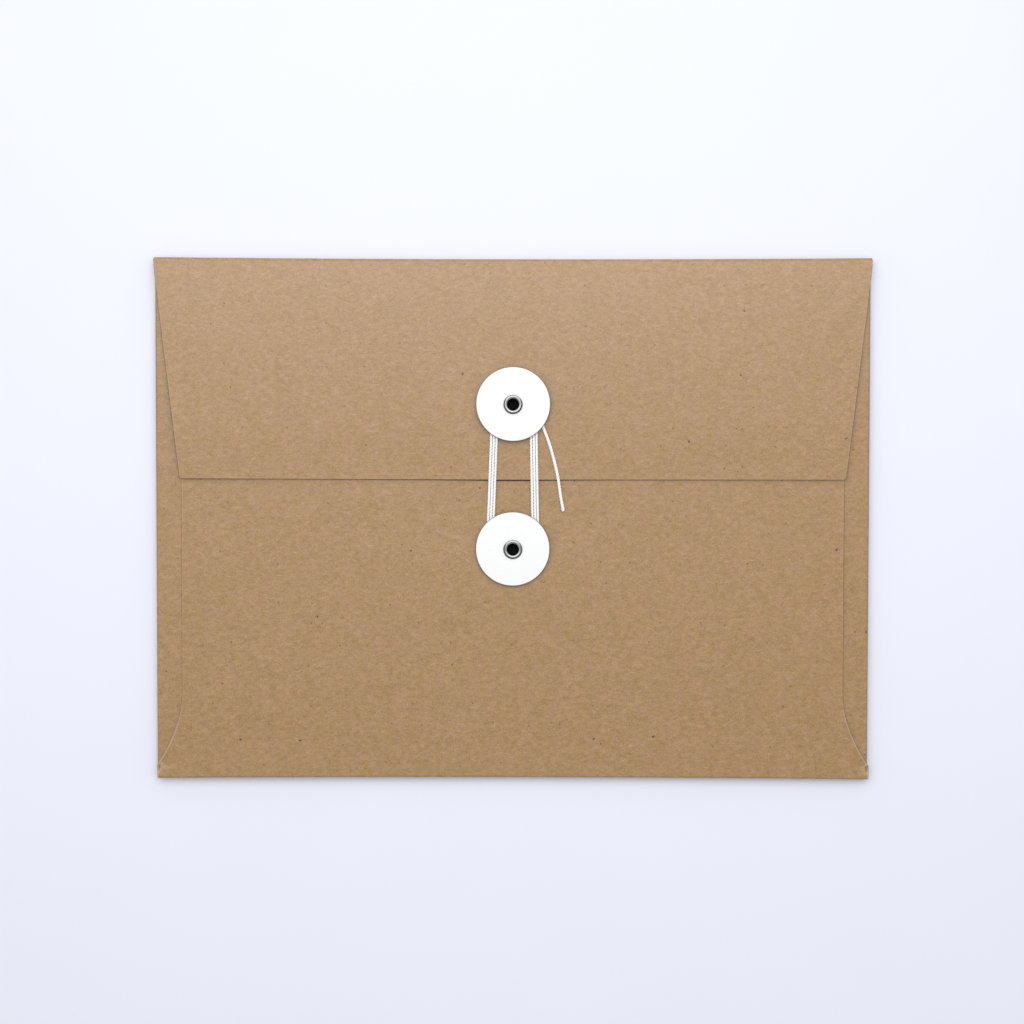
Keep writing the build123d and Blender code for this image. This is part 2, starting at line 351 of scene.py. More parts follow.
def fibre_group():
    """Short curved fibres, one in each cell of a scattered pattern."""
    inputs = {
        "Vector": "NodeSocketVector", "Cell": 0.002, "Length": 0.4, "Width": 0.04,
        "Spread": 1.5, "Share": 0.4, "Shift": 0.0,
    }
    sketch, given, result = node_group("paper_fibres", "ShaderNodeTree", inputs, ["Mask"], "NodeSocketFloat")
    shift = sketch.place("ShaderNodeCombineXYZ", {"X": given["Shift"], "Y": given["Shift"]}).outputs[0]
    place = sketch.scaled(given["Vector"], sketch.math("DIVIDE", 1.0, given["Cell"]))
    place = sketch.vector("ADD", place, shift)
    scatter = {"Vector": place, "Scale": 1.0, "Randomness": 0.8}
    cells = sketch.place("ShaderNodeTexVoronoi", scatter, voronoi_dimensions="2D")
    local = sketch.vector("SUBTRACT", place, cells.outputs["Position"])
    across, up, _ = sketch.place("ShaderNodeSeparateXYZ", {0: local}).outputs
    turn, chance, bend = sketch.place("ShaderNodeSeparateColor", {0: cells.outputs["Color"]}).outputs
    angle = sketch.times(sketch.math("SUBTRACT", turn, 0.5), given["Spread"])
    cosine = sketch.math("COSINE", angle)
    sine = sketch.math("SINE", angle)
    along = sketch.plus(sketch.times(across, cosine), sketch.times(up, sine))
    beside = sketch.math("SUBTRACT", sketch.times(up, cosine), sketch.times(across, sine))
    arch = sketch.times(sketch.math("SUBTRACT", bend, 0.5), sketch.times(along, along))
    beside = sketch.math("ABSOLUTE", sketch.plus(beside, sketch.times(arch, 1.6)))
    thin = sketch.step(beside, sketch.times(given["Width"], 0.3), given["Width"], 1.0, 0.0)
    from_middle = sketch.math("ABSOLUTE", along)
    short = sketch.step(from_middle, sketch.times(given["Length"], 0.5), given["Length"], 1.0, 0.0)
    there = sketch.math("LESS_THAN", chance, given["Share"])
    strength = sketch.math("MULTIPLY_ADD", bend, 0.8, 0.2)
    mask = sketch.times(sketch.times(thin, short), sketch.times(there, strength))
    sketch.feed(result["Mask"], mask)
    return sketch.tree


def grain_group():
    """The uneven density of paper: streaks along the machine, fine grain, and clouds of two tints."""
    inputs = {"Vector": "NodeSocketVector", "Streak": 0.0016, "Stretch": 1.6, "Cloud": 0.0042}
    outputs = ["Streaks", "Fine", "Clouds", "Tint"]
    sketch, given, result = node_group("paper_grain", "ShaderNodeTree", inputs, outputs, "NodeSocketFloat")
    squeeze = sketch.place("ShaderNodeCombineXYZ", {"X": 1.0, "Y": given["Stretch"], "Z": 1.0}).outputs[0]
    place = sketch.scaled(given["Vector"], sketch.math("DIVIDE", 1.0, given["Streak"]))
    drawn = sketch.turned(sketch.vector("MULTIPLY", place, squeeze), 0.0)
    sketch.feed(result["Streaks"], sketch.noise(drawn, 1.0, 4.0, 0.72))
    sketch.feed(result["Fine"], sketch.noise(sketch.turned(place, 0.3), 6.0, 2.0))
    wide = sketch.scaled(given["Vector"], sketch.math("DIVIDE", 1.0, given["Cloud"]))
    wide = sketch.turned(wide, 0.1)
    sketch.feed(result["Clouds"], sketch.noise(wide, 1.0, 3.0, 0.6))
    sketch.feed(result["Tint"], sketch.noise(sketch.vector("ADD", wide, (5.2, 1.7, 3.3)), 1.4, 2.0))
    return sketch.tree


def new_material(name):
    """A node material and the sketch of its tree."""
    material = bpy.data.materials.new(name)
    material.use_nodes = True
    return material, Sketch(material.node_tree)


def colour(value):
    """A colour property as a colour socket takes it."""
    return (value[0], value[1], value[2], 1.0)


def dress(sketch, bump, **inputs):
    """Feeds a material's shader; names of inputs have _ for a space. bump is None, or else the height,
    strength and depth of its bump."""
    shader = sketch.tree.nodes["Principled BSDF"]
    for name, value in inputs.items():
        sketch.feed(shader.inputs[name.replace("_", " ")], value)
    if bump:
        height, strength, depth = bump
        node = sketch.place("ShaderNodeBump", {"Strength": strength, "Distance": depth, "Height": height})
        sketch.feed(shader.inputs["Normal"], node.outputs[0])


# Fibres of the kraft paper: the property with their colour, how much of it shows, and their pattern
PAPER_FIBRES = (
    ("pale_fibre", 0.36, dict(Cell=1.9 * MM, Length=0.45, Width=0.06, Spread=1.2, Share=0.4)),
    ("pale_fibre", 0.22, dict(Cell=0.7 * MM, Length=0.5, Width=0.12, Spread=2.0, Share=0.4, Shift=7.3)),
    ("dark_fibre", 0.3, dict(Cell=2.1 * MM, Length=0.25, Width=0.07, Spread=2.2, Share=0.3, Shift=3.1)),
    ("fleck", 1.3, dict(Cell=5.2 * MM, Length=0.06, Width=0.042, Spread=3.1, Share=0.28, Shift=11.7)),
    ("bark", 2.2, dict(Cell=16.0 * MM, Length=0.023, Width=0.017, Spread=3.1, Share=0.13, Shift=5.9)),
)


class Finishes:
    """The materials of the envelope, made once."""

    def __init__(self, scene):
        self.fibres = fibre_group()
        self.grain = grain_group()
        self.kraft = self.kraft_paper(scene.envelope_paper)
        self.card = self.white_card(scene.envelope_buttons)
        self.nickel = self.nickel_plate(scene.envelope_buttons)
        self.black = self.black_paper()
        self.cotton = self.white_string(scene.envelope_string)
        self.glue = self.dried_glue()

    def fibre(self, sketch, vector, **sizes):
        return sketch.group(self.fibres, Vector=vector, **sizes)["Mask"]

    def kraft_paper(self, paper):
        """Unbleached paper with streaks, pale and dark fibres and flecks, a painted highlight beside its cut
        edges, and painted shade on its cut walls and side folds.
        """
        material, sketch = new_material("kraft_paper")
        blank = sketch.place("ShaderNodeUVMap", uv_map="blank").outputs["UV"]
        grain = sketch.group(self.grain, Vector=blank)
        base = sketch.mix(sketch.step(grain["Clouds"], 0.24, 0.76), colour(paper.warm), colour(paper.cool))
        blue = sketch.math("MULTIPLY_ADD", grain["Tint"], 0.5, 0.75)
        tint = sketch.place("ShaderNodeCombineXYZ", {"X": 1.0, "Y": 1.0, "Z": blue}).outputs[0]
        base = sketch.vector("MULTIPLY", base, tint)
        streaks = sketch.math("MULTIPLY_ADD", grain["Streaks"], 0.68, -0.34)
        fine = sketch.math("MULTIPLY_ADD", grain["Fine"], 0.8, -0.4)
        lumps = sketch.math("MULTIPLY_ADD", grain["Clouds"], -0.1, 0.05)
        dense = sketch.plus(sketch.plus(streaks, fine), lumps)
        base = sketch.vector("ADD", base, sketch.scaled(tuple(paper.grain), dense))
        layers = [(tone, share, self.fibre(sketch, blank, **sizes)) for tone, share, sizes in PAPER_FIBRES]
        pale = layers[0][-1]
        edge_shade = sketch.marked("raw_edge")
        # Painted light: a highlight beside the cut edges, shade on the side folds' outer bands, shade on the
        # cut walls
        layers += [
            ("pale_fibre", 0.55, sketch.marked("cut_edge")),
            ("dark_fibre", 0.3, sketch.marked("handled")),
            ("raw_edge", 1.0, edge_shade),
        ]
        for tone, share, mask in layers:
            base = sketch.mix(sketch.times(mask, share), base, colour(getattr(paper, tone)))
        height = sketch.plus(sketch.plus(grain["Streaks"], grain["Fine"]), sketch.times(pale, 0.6))
        rough = sketch.step(grain["Fine"], 0.2, 0.8, 0.36, 0.48)
        rough = sketch.math("MULTIPLY_ADD", edge_shade, 0.5, rough)
        bump = (height, 0.25, 0.03 * MM)
        dress(sketch, bump, Base_Color=base, Roughness=rough, Specular_IOR_Level=1.0)
        return material

    def white_card(self, buttons):
        """Bleached card with faint fibres, a few grey specks, and a grey core with painted shade at a disc's
        rim.
        """
        material, sketch = new_material("white_card")
        place = sketch.on_piece()
        grain = sketch.group(self.grain, Vector=place, Streak=0.6 * MM, Stretch=1.4)
        thread = self.fibre(sketch, place, Cell=1.3 * MM, Length=0.5, Width=0.05, Spread=3.0, Share=0.4)
        specks = dict(Cell=5.0 * MM, Length=0.05, Width=0.03, Spread=3.0, Share=0.3, Shift=2.7)
        speck = self.fibre(sketch, place, **specks)
        base = sketch.scaled(tuple(buttons.card), sketch.math("MULTIPLY_ADD", grain["Streaks"], 0.05, 0.975))
        base = sketch.mix(sketch.times(thread, 0.06), base, (0.62, 0.62, 0.64, 1.0))
        base = sketch.mix(sketch.times(speck, 0.3), base, (0.42, 0.41, 0.4, 1.0))
        base = sketch.mix(sketch.marked("cut_edge"), base, colour(buttons.card_core))
        height = sketch.plus(grain["Streaks"], sketch.times(thread, 0.5))
        rough = sketch.step(grain["Fine"], 0.2, 0.8, 0.6, 0.75)
        bump = (height, 0.15, 0.02 * MM)
        dress(sketch, bump, Base_Color=base, Roughness=rough, Specular_IOR_Level=0.3)
        return material

    def nickel_plate(self, buttons):
        """Nickel with a light haze and fine scratches."""
        material, sketch = new_material("nickel")
        place = sketch.on_piece()
        haze = sketch.noise(place, 900.0, 4.0)
        scratch = self.fibre(sketch, place, Cell=0.7 * MM, Length=0.5, Width=0.03, Spread=3.1, Share=0.6)
        tone = sketch.math("MULTIPLY_ADD", haze, 0.3, 0.82)
        base = sketch.scaled(tuple(buttons.metal), tone)
        base = sketch.mix(sketch.marked("crevice"), base, colour(buttons.tarnish_and_shade))
        rough = sketch.math("MULTIPLY_ADD", haze, 0.25, 0.14)
        rough = sketch.math("MULTIPLY_ADD", scratch, 0.15, rough)
        dress(sketch, None, Base_Color=base, Roughness=rough, Metallic=1.0)
        return material

    def black_paper(self):
        """Matte black paper with grey fibres; at the eyelets' inner ends it is painted shade that makes the
        holes look black.
        """
        material, sketch = new_material("black_paper")
        place = sketch.on_piece()
        grain = sketch.group(self.grain, Vector=place, Streak=0.5 * MM, Stretch=1.5)
        thread = self.fibre(sketch, place, Cell=0.9 * MM, Length=0.5, Width=0.05, Spread=3.0, Share=0.4)
        black = (0.005, 0.005, 0.0055, 1.0)
        grey = (0.03, 0.03, 0.03, 1.0)
        base = sketch.mix(sketch.times(thread, 0.35), black, grey)
        rough = sketch.step(grain["Fine"], 0.2, 0.8, 0.85, 0.95)
        bump = (grain["Streaks"], 0.3, 0.03 * MM)
        dress(sketch, bump, Base_Color=base, Roughness=rough, Specular_IOR_Level=0.15)
        return material

    def white_string(self, string):
        """Bleached cotton yarn."""
        material, sketch = new_material("white_string")
        place = sketch.on_piece()
        lint = sketch.noise(place, 9000.0, 3.0)
        base = sketch.scaled(tuple(string.cotton), sketch.math("MULTIPLY_ADD", lint, 0.16, 0.92))
        rough = sketch.step(lint, 0.2, 0.8, 0.8, 0.95)
        bump = (lint, 0.4, 0.03 * MM)
        dress(sketch, bump, Base_Color=base, Roughness=rough, Specular_IOR_Level=0.2, Sheen_Weight=0.15)
        return material

    def dried_glue(self):
        """A thin amber film."""
        material, sketch = new_material("seam_glue")
        place = sketch.on_piece()
        ripple = sketch.noise(place, 260.0, 3.0)
        base = sketch.mix(ripple, (0.52, 0.42, 0.28, 1.0), (0.7, 0.6, 0.44, 1.0))
        rough = sketch.step(ripple, 0.3, 0.7, 0.35, 0.6)
        dress(sketch, (ripple, 0.3, 0.05 * MM), Base_Color=base, Roughness=rough)
        return material


finishes = {}


def finish(scene, name):
    """A material by its name; all are made when the first is asked for."""
    if "set" not in finishes:
        finishes["set"] = Finishes(scene)
    return getattr(finishes["set"], name)


# Meshes


def add_piece(name, mesh, slot, body, *nodes):
    """Puts a finished mesh in the scene, on its body, in place of its nodes."""
    piece = bpy.data.objects.new(name, mesh)
    bpy.context.scene.collection.objects.link(piece)
    if body:
        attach(piece, body)
    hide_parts(*nodes)
    return piece


def paint_node(node, material):
    """Gives a CAD node that stays a better material."""
    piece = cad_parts[node]
    for slot in piece.material_slots:
        slot.material = material


def spaced(start, end, step):
    """Even steps from start to end, none longer than step."""
    count = max(1, math.ceil(abs(end - start) / step - 1e-6))
    return list(np.linspace(start, end, count + 1))


def with_fixed(values, fixed, room):
    """Sorted values with some fixed ones put in, and those that lie too close to these left out."""
    kept = [value for value in values if min(abs(value - other) for other in fixed) > room]
    return np.array(sorted(kept + list(fixed)))


def eased(value):
    """A smooth step from 0 to 1."""
    value = np.clip(value, 0.0, 1.0)
    return value * value * (3 - 2 * value)


def points_of(mesh):
    """The points of a mesh, as an array."""
    return np.array([vertex.co for vertex in mesh.vertices])


def sheet_of(across, up, height):
    """The points of a sheet, from what holds for each point, row or column."""
    return np.stack(np.broadcast_arrays(across, up, height), axis=-1)


EDGE_ROWS = (0.0, 0.12 * MM, 0.4 * MM, 1.2 * MM)   # close rows along a cut edge
CUT_FADE = 0.8                                    # how much of the cut's colour the next row has
CUT_HIGHLIGHT = 0.2                                    # how strong the pale fibres and painted highlight are beside a straight cut
RAW_SLOPE = 0.165 * MM                            # how far the underside stands out at a cut edge
# Rows and columns through a button's hole, from its middle
HOLE_ROWS = (-3.2 * MM, -2.0 * MM, -1.0 * MM, 0.0, 1.0 * MM, 2.0 * MM, 3.2 * MM)
HOLE_BLOCK = 2.05 * MM                            # half the square of cells that a hole takes out
HOLE_RADIUS = 1.95 * MM
INSIDE = (1.0, 0.0)                               # the paper's inside has another part of the pattern


def rows_between(paper, start, end, fixed):
    """Places from start to end, as far apart as the paper's grid, with some fixed ones put in."""
    return with_fixed(spaced(start, end, paper.grid), fixed, 0.5 * paper.grid)


def columns(paper):
    """Places across a panel, close together at its edges and round its button's hole."""
    edges = [wide_half - edge for edge in EDGE_ROWS]
    fixed = [*edges, *(-edge for edge in edges), *HOLE_ROWS]
    return rows_between(paper, -wide_half, wide_half, fixed)


def mark(mesh, name, values, domain="POINT"):
    """Stores a value for each point or face of a mesh, for its material to read."""
    layer = mesh.attributes.new(name, "FLOAT", domain)
    layer.data.foreach_set("value", np.asarray(values, np.float32))


def cut_directions(middle, creases):
    """Unit vectors out of the sheet along its cut edges, and none elsewhere."""
    out = np.zeros_like(middle)
    out[:, 0] = middle[:, 0] - middle[:, 1]
    out[:, -1] = middle[:, -1] - middle[:, -2]
    for row, beside in ((0, 1), (len(middle) - 1, len(middle) - 2)):
        if row not in creases:
            out[row] = middle[row] - middle[beside]
    out[sorted(creases)] = 0
    return out / np.maximum(np.linalg.norm(out, axis=2, keepdims=True), 1e-9)


def sheet_cells(rows, cols, missing):
    """The cells of a grid that are there, and those of their sides that no other cell shares."""
    cells = []
    for row in range(rows - 1):
        for col in range(cols - 1):
            if missing is None or not missing[row, col]:
                corner = row * cols + col
                cells.append((corner, corner + 1, corner + cols + 1, corner + cols))
    sides = {(cell[i], cell[(i + 1) % 4]) for cell in cells for i in range(4)}
    rim = [side for side in sorted(sides) if (side[1], side[0]) not in sides]
    return cells, rim


def cut_highlights(rows, cols, folded, pale):
    """How pale each point of a sheet is painted because it lies on or beside a cut: pale fibres, and a
    painted highlight where the cut edge catches the light.
    """
    cut = np.zeros((rows, cols))
    cut[:, [1, -2]] = CUT_FADE
    for row, beside in ((0, 1), (-1, -2)):
        if row not in folded:
            cut[beside] = CUT_FADE
            cut[row] = 1
    cut[:, [0, -1]] = 1
    cut[list(folded)] = 0
    return cut * np.reshape(pale, (-1, 1))


def paper_mesh(
    name, middle, blank, folded, missing=None, pale=CUT_HIGHLIGHT, column_shade=(0.62, 0.62), row_shade=0.3, bevel=1.0,
):
    """A closed sheet, as thick as the paper, from the grid of its middle surface.
    blank holds where each point lies on the flat blank, folded the rows that end at a crease
    instead of a cut, missing marks cells that are cut out, pale is how strong the pale fibres and
    painted highlight are beside its cut edges, column_shade how dark the painted shade on the cuts of
    its first and last columns is, row_shade that on its rows, and bevel how much more its first row slopes
    than the other cuts."""
    rows, cols = middle.shape[:2]
    normal = np.cross(np.gradient(middle, axis=1), np.gradient(middle, axis=0))
    normal /= np.linalg.norm(normal, axis=2, keepdims=True)
    creases = {row % rows for row in folded}
    outer = (middle + normal * PAPER / 2).reshape(-1, 3)
    slope = RAW_SLOPE * cut_directions(middle, creases)
    slope[0] *= bevel
    inner = (middle - normal * PAPER / 2 + slope).reshape(-1, 3)
    count = rows * cols
    cells, rim = sheet_cells(rows, cols, missing)
    faces = [*cells]
    faces += [tuple(index + count for index in reversed(cell)) for cell in cells]
    faces += [(b, a, a + count, b + count) for a, b in rim]
    used = sorted({index for face in faces for index in face})
    place_of = {index: place for place, index in enumerate(used)}
    points = np.vstack([outer, inner])[used]
    mesh = bpy.data.meshes.new(name)
    mesh.from_pydata(points.tolist(), [], [[place_of[index] for index in face] for face in faces])
    layer = mesh.uv_layers.new(name="blank")
    flat = blank.reshape(-1, 2)
    flat = np.vstack([flat, flat + INSIDE])
    spots = [index for face in faces[:2 * len(cells)] for index in face]
    spots += [index % count for face in faces[2 * len(cells):] for index in face]
    layer.data.foreach_set("uv", flat[spots].astype(np.float32).ravel())
    # How dark each cut wall is painted: partly darker cut fibres, partly painted shade for the lines at the
    # seams and the flap's edge
    edge_shade = np.full((rows, cols), row_shade)
    edge_shade[:, [0, -1]] = column_shade
    edge_shade[sorted(creases)] = 0
    walls = [min(edge_shade.flat[a], edge_shade.flat[b]) for a, b in rim]
    mark(mesh, "raw_edge", [0.0] * (2 * len(cells)) + walls, "FACE")
    cut = cut_highlights(rows, cols, folded, pale)
    mark(mesh, "cut_edge", [cut.flat[index % count] for index in used])
    sharp = {frozenset((place_of[a], place_of[b])) for a, b in rim}
    sharp |= {frozenset((place_of[a + count], place_of[b + count])) for a, b in rim}
    mesh.shade_smooth()
    for edge in mesh.edges:
        edge.use_edge_sharp = frozenset(edge.vertices) in sharp
    return mesh


def eased_out(paper, points):
    """The sheet with the give of its top and bottom folds, which is largest at the corners."""
    across = points[..., 0] / wide_half
    give = np.where(points[..., 1] > 0, paper.top_give, paper.bottom_give + paper.bottom_skew * across)
    points[..., 1] *= 1 + (give + paper.fold_bow * across ** 2) / half_height
    return points


FOLD_STEPS = 14       # steps of the mesh round a fold
ROUND_FOLD = 2.0      # a fold that is half a circle
PRESSED_FOLD = 3.6    # a fold that is pressed flatter, with a squarer bend
SHOULDER = 0.05 * MM  # height over which the front widens beyond a side fold
NOTCH = 0.02 * MM     # height over which the back panel widens to the bottom fold
BELLY_FULLNESS = 1.4  # how soon from its edges the front hangs at its lowest
SEAM_BEND = 1.9       # how late the back panel's edge curves out to the sides
SEAM_SHADE = (0.19, 0.47)        # how dark the painted shade on the cuts of the back panel's left and right edges is
FOLD_SHADE_BAND = (0.5 * MM, 0.1 * MM)   # how far in from the side the painted shade of a side fold starts and is full


def fold_section(bend, shape):
    """A fold seen from the side, from below to above: out, up from its middle and length walked."""
    share = (1 - np.cos(np.linspace(0, math.pi, FOLD_STEPS + 1))) / 2
    angles = share * math.pi - math.pi / 2
    out = bend * np.abs(np.cos(angles)) ** (2 / shape)
    up = bend * np.sign(angles) * np.abs(np.sin(angles)) ** (2 / shape)
    out[[0, -1]] = 0
    walked = np.concatenate([[0], np.cumsum(np.hypot(np.diff(out), np.diff(up)))])
    return out, up, walked


def front_sheet(paper):
    """The plain front, wider at both ends than between the side folds."""
    low, high = side_fold_low.y, side_fold_high.y
    fixed = [top_line, high + SHOULDER, high, low, low - SHOULDER, bottom_line]
    down = rows_between(paper, bottom_line, top_line, fixed)[::-1]
    foot = down < low
    half = np.where(down > high, wide_half, np.where(foot, wide_half - paper.foot_trim, side_line))
    share = columns(paper) / wide_half
    across = half[:, None] * share + paper.foot_shift * foot[:, None]
    off_middle = (1 - (across / half[:, None]) ** 2) * (1 - (down[:, None] / top_line) ** 2)
    height = PAPER / 2 - paper.belly * eased(BELLY_FULLNESS * off_middle)
    middle = sheet_of(across, down[:, None], height)
    blank = middle[..., :2].copy()
    return paper_mesh("front_panel", eased_out(paper, middle), blank, range(len(down)))


def side_sheet(paper, side):
    """A side fold and the flap that it turns in under the back panel; side is 1 on the right."""
    radius = (side_fold_high.z - side_fold_low.z) / 2
    inner = side_flap_low.x
    out, up, walked = fold_section(radius - PAPER / 2, ROUND_FOLD)
    fixed = [side_line] + [inner + edge for edge in EDGE_ROWS]
    inward = with_fixed(spaced(side_line, inner, paper.grid), fixed, MM)[::-1][1:]
    across = np.concatenate([side_line + out, inward])
    height = np.concatenate([radius + up, np.full(len(inward), radius + up[-1])])
    walked = np.concatenate([walked, walked[-1] + side_line - inward])
    turned_in = (side_line - inward) / (side_line - inner)
    taper = np.concatenate([np.zeros(len(out)), turned_in]) * paper.side_taper
    low, high = side_fold_low.y, side_fold_high.y
    fixed = [low + edge for edge in EDGE_ROWS] + [high - edge for edge in EDGE_ROWS]
    share = (rows_between(paper, low, high, fixed) - low) / (high - low)
    if side < 0:
        share = share[::-1]
    along = (low + taper)[:, None] + (high - low - 2 * taper)[:, None] * share
    middle = sheet_of(side * across[:, None], along, height[:, None])
    blank = middle[..., :2].copy()
    blank[..., 0] = side * (side_line + walked)[:, None]
    name = "right_side" if side > 0 else "left_side"
    mesh = paper_mesh(name, eased_out(paper, middle), blank, (0,))
    # Painted shade on the outer band of the side fold, where it turns away from the light
    reach = np.abs(points_of(mesh)[:, 0])
    mark(mesh, "handled", eased((reach - body_half + FOLD_SHADE_BAND[0]) / (FOLD_SHADE_BAND[0] - FOLD_SHADE_BAND[1])))
    return mesh


def seam_half(paper, up):
    """Half the width of the back panel at a height: straight, then curving out to the sides."""
    seam = body_half - paper.seam_inset
    start = -half_height + paper.seam_curve
    foot = side_fold_low.y
    reach = wide_half - seam
    drop = start - foot
    fall = np.clip(start - up, 0, drop)
    curve = seam + reach * (fall / drop) ** SEAM_BEND
    return np.where(up < foot, wide_half, curve)


CROWN = 0.1 * MM             # height of the back panel's low crown
CROWN_HALF = 80.0 * MM       # half its width
CROWN_FOOT = 25.0 * MM       # height over which it rises from the bottom fold
HELD_FLAT = 18.0 * MM        # distance from the body's button within which it is held flat
SWELLING = 0.45 * MM         # height of the swelling below the body's button
SWELLING_START = 5.8 * MM    # distance from the button's middle where it starts
SWELLING_RISE = 4.0 * MM     # length over which it rises
SWELLING_REACH = 24.0 * MM   # distance over which it fades away
SEAM_FADE = 5.0 * MM         # distance over which the sprung right edge falls back to flat
SEAM_START = 3.0 * MM        # height over which it starts from the bottom fold
CURVE_FADE = 3.0 * MM        # distance over which the sprung curve falls back to flat
CURVE_START = 8.0 * MM       # height over which it starts from the straight edge
CURVE_END = 1.2 * MM         # height over which it ends at the bottom fold


def back_lift(paper, across, up):
    """How far the back panel stands up from flat: a low crown, a swelling below the button
    that the string pulls on, and edges that have sprung open."""
    crown = CROWN * np.clip(1 - (across / CROWN_HALF) ** 2, 0, 1) * eased((up - bottom_line) / CROWN_FOOT)
    away = np.maximum(np.hypot(across - body_button.x, up - body_button.y), 0.1 * MM)
    crown *= 1 - np.exp(-((away / HELD_FLAT) ** 2))
    below = eased(0.5 - 0.8 * (up - body_button.y) / away)
    swelling = SWELLING * below * eased((away - SWELLING_START) / SWELLING_RISE)
    swelling *= np.exp(-(away / SWELLING_REACH) ** 2)
    from_seam = np.maximum(seam_half(paper, up) - across, 0)
    seam = paper.seam_lift * np.exp(-from_seam / SEAM_FADE) * eased((up - side_fold_low.y) / SEAM_START)
    from_edge = np.maximum(seam_half(paper, up) - np.abs(across), 0)
    curve_top = -half_height + paper.seam_curve
    on_curve = eased((curve_top - up) / CURVE_START) * eased((up - side_fold_low.y) / CURVE_END)
    curve = paper.curve_lift * np.exp(-from_edge / CURVE_FADE) * on_curve
    return crown + swelling + np.maximum(seam, curve)


def back_sheet(paper):
    """The bottom fold and the back panel."""
    radius = (bottom_high.z - bottom_low.z) / 2
    out, rise, walked = fold_section(radius - PAPER / 2, PRESSED_FOLD)
    foot = side_fold_low.y
    start = -half_height + paper.seam_curve
    fixed = [bottom_line, foot - NOTCH, *spaced(foot, start, MM)]
    fixed += [body_button.y + row for row in HOLE_ROWS] + [back_high.y - edge for edge in EDGE_ROWS]
    up = rows_between(paper, bottom_line, back_high.y, fixed)[1:]
    half = np.concatenate([np.full(len(out), wide_half), seam_half(paper, up)])
    seam = half.min()
    at_foot = (half - seam) / (wide_half - seam)
    share = columns(paper) / wide_half
    across = (half - paper.foot_trim * at_foot)[:, None] * share + paper.foot_shift * at_foot[:, None]
    height = np.concatenate([radius + rise, np.full(len(up), radius + rise[-1])])
    middle = sheet_of(across, np.concatenate([bottom_line - out, up])[:, None], height[:, None])
    flat_rows = middle[len(out):]
    flat_rows[..., 2] += back_lift(paper, flat_rows[..., 0], flat_rows[..., 1])
    walked = np.concatenate([walked, walked[-1] + up - bottom_line])
    blank = middle[..., :2].copy()
    blank[..., 1] = (bottom_line - walked)[:, None]
    missing = punch(middle, body_button)
    # A stronger painted highlight along the curved part of the back panel's edge
    pale = CUT_HIGHLIGHT + (1 - CUT_HIGHLIGHT) * np.clip(4 * at_foot, 0, 1)
    return paper_mesh("back_panel", eased_out(paper, middle), blank, (0,), missing, pale, SEAM_SHADE)


def punch(middle, button):
    """Cuts a button's hole: marks the cells inside it and rounds the points on its edge."""
    away = middle[..., :2] - np.array(button[:2])
    block = np.abs(away).max(axis=2) < HOLE_BLOCK
    reach = np.maximum(np.hypot(away[..., 0], away[..., 1]), 1e-6)
    rounded = np.array(button[:2]) + away * (HOLE_RADIUS / reach)[..., None]
    middle[..., :2] = np.where(block[..., None], rounded, middle[..., :2])
    return block[:-1, :-1] & block[1:, :-1] & block[:-1, 1:] & block[1:, 1:]


SPRING = 7.0 * MM        # length over which the flap bends up from its fold
SPRING_SHARE = 0.7       # part of the rise that this bend makes
RISE = 35.0 * MM         # length over which the flap rises the rest of the way
LEFT_LIFT = 0.45 * MM    # how much more the flap's left corner has sprung up
FLAP_TRIM = 0.15 * MM    # how much the flap's upper face is trimmed back at its edge
FLAP_BEVEL = 2.0         # how much more the flap's edge slopes than the other cuts
EDGE_BEND = 0.26         # part of the flap's depth over which its edge is drawn down
WAVE = 0.03 * MM         # height of the waves that the paper keeps
WAVE_ACROSS = 19.0 * MM  # their length, across the flap and down it, over 2 pi
WAVE_DOWN = 13.0 * MM
WAVE_START = 8.0 * MM    # length over which they start from the fold
BUTTON_FLAT = 12.0 * MM  # distance from its button within which the flap has none
CORNER_BEND = 6          # how close to the sides the corners spring up, as a power
CREASE_ROWS = (0.0, 0.5 * MM, 1.5 * MM)   # close rows along the flap's crease
BEZIER_REACH = 0.75      # how far a Bezier curve goes towards its two middle points
FOLD_LENGTH = 4.0 * MM   # of the blank, between the front panel and the flap


def flap_height(paper, across, up):
    """Height of the flap's middle surface."""
    fall = top_line - up
    bend = SPRING_SHARE * (1 - np.exp(-fall / SPRING))
    rise = (1 - SPRING_SHARE) * (1 - (1 - np.clip(fall / RISE, 0, 1)) ** 2)
    height = flap_high.z - PAPER / 2 - paper.crease_drop * (1 - bend - rise)
    height = height - paper.edge_drop * eased((fall / flap_depth - 1 + EDGE_BEND) / EDGE_BEND)
    corner = eased((fall - 0.5 * flap_depth) / (0.5 * flap_depth)) * (across / wide_half) ** CORNER_BEND
    wave = WAVE * np.sin(across / WAVE_ACROSS + 0.6) * np.sin(fall / WAVE_DOWN) * eased(fall / WAVE_START)
    near = np.exp(-((np.hypot(across, up - flap_button.y) / BUTTON_FLAT) ** 2))
    lift = np.where(across < 0, paper.corner_lift + LEFT_LIFT, paper.corner_lift)
    return height + lift * corner + wave * (1 - near)


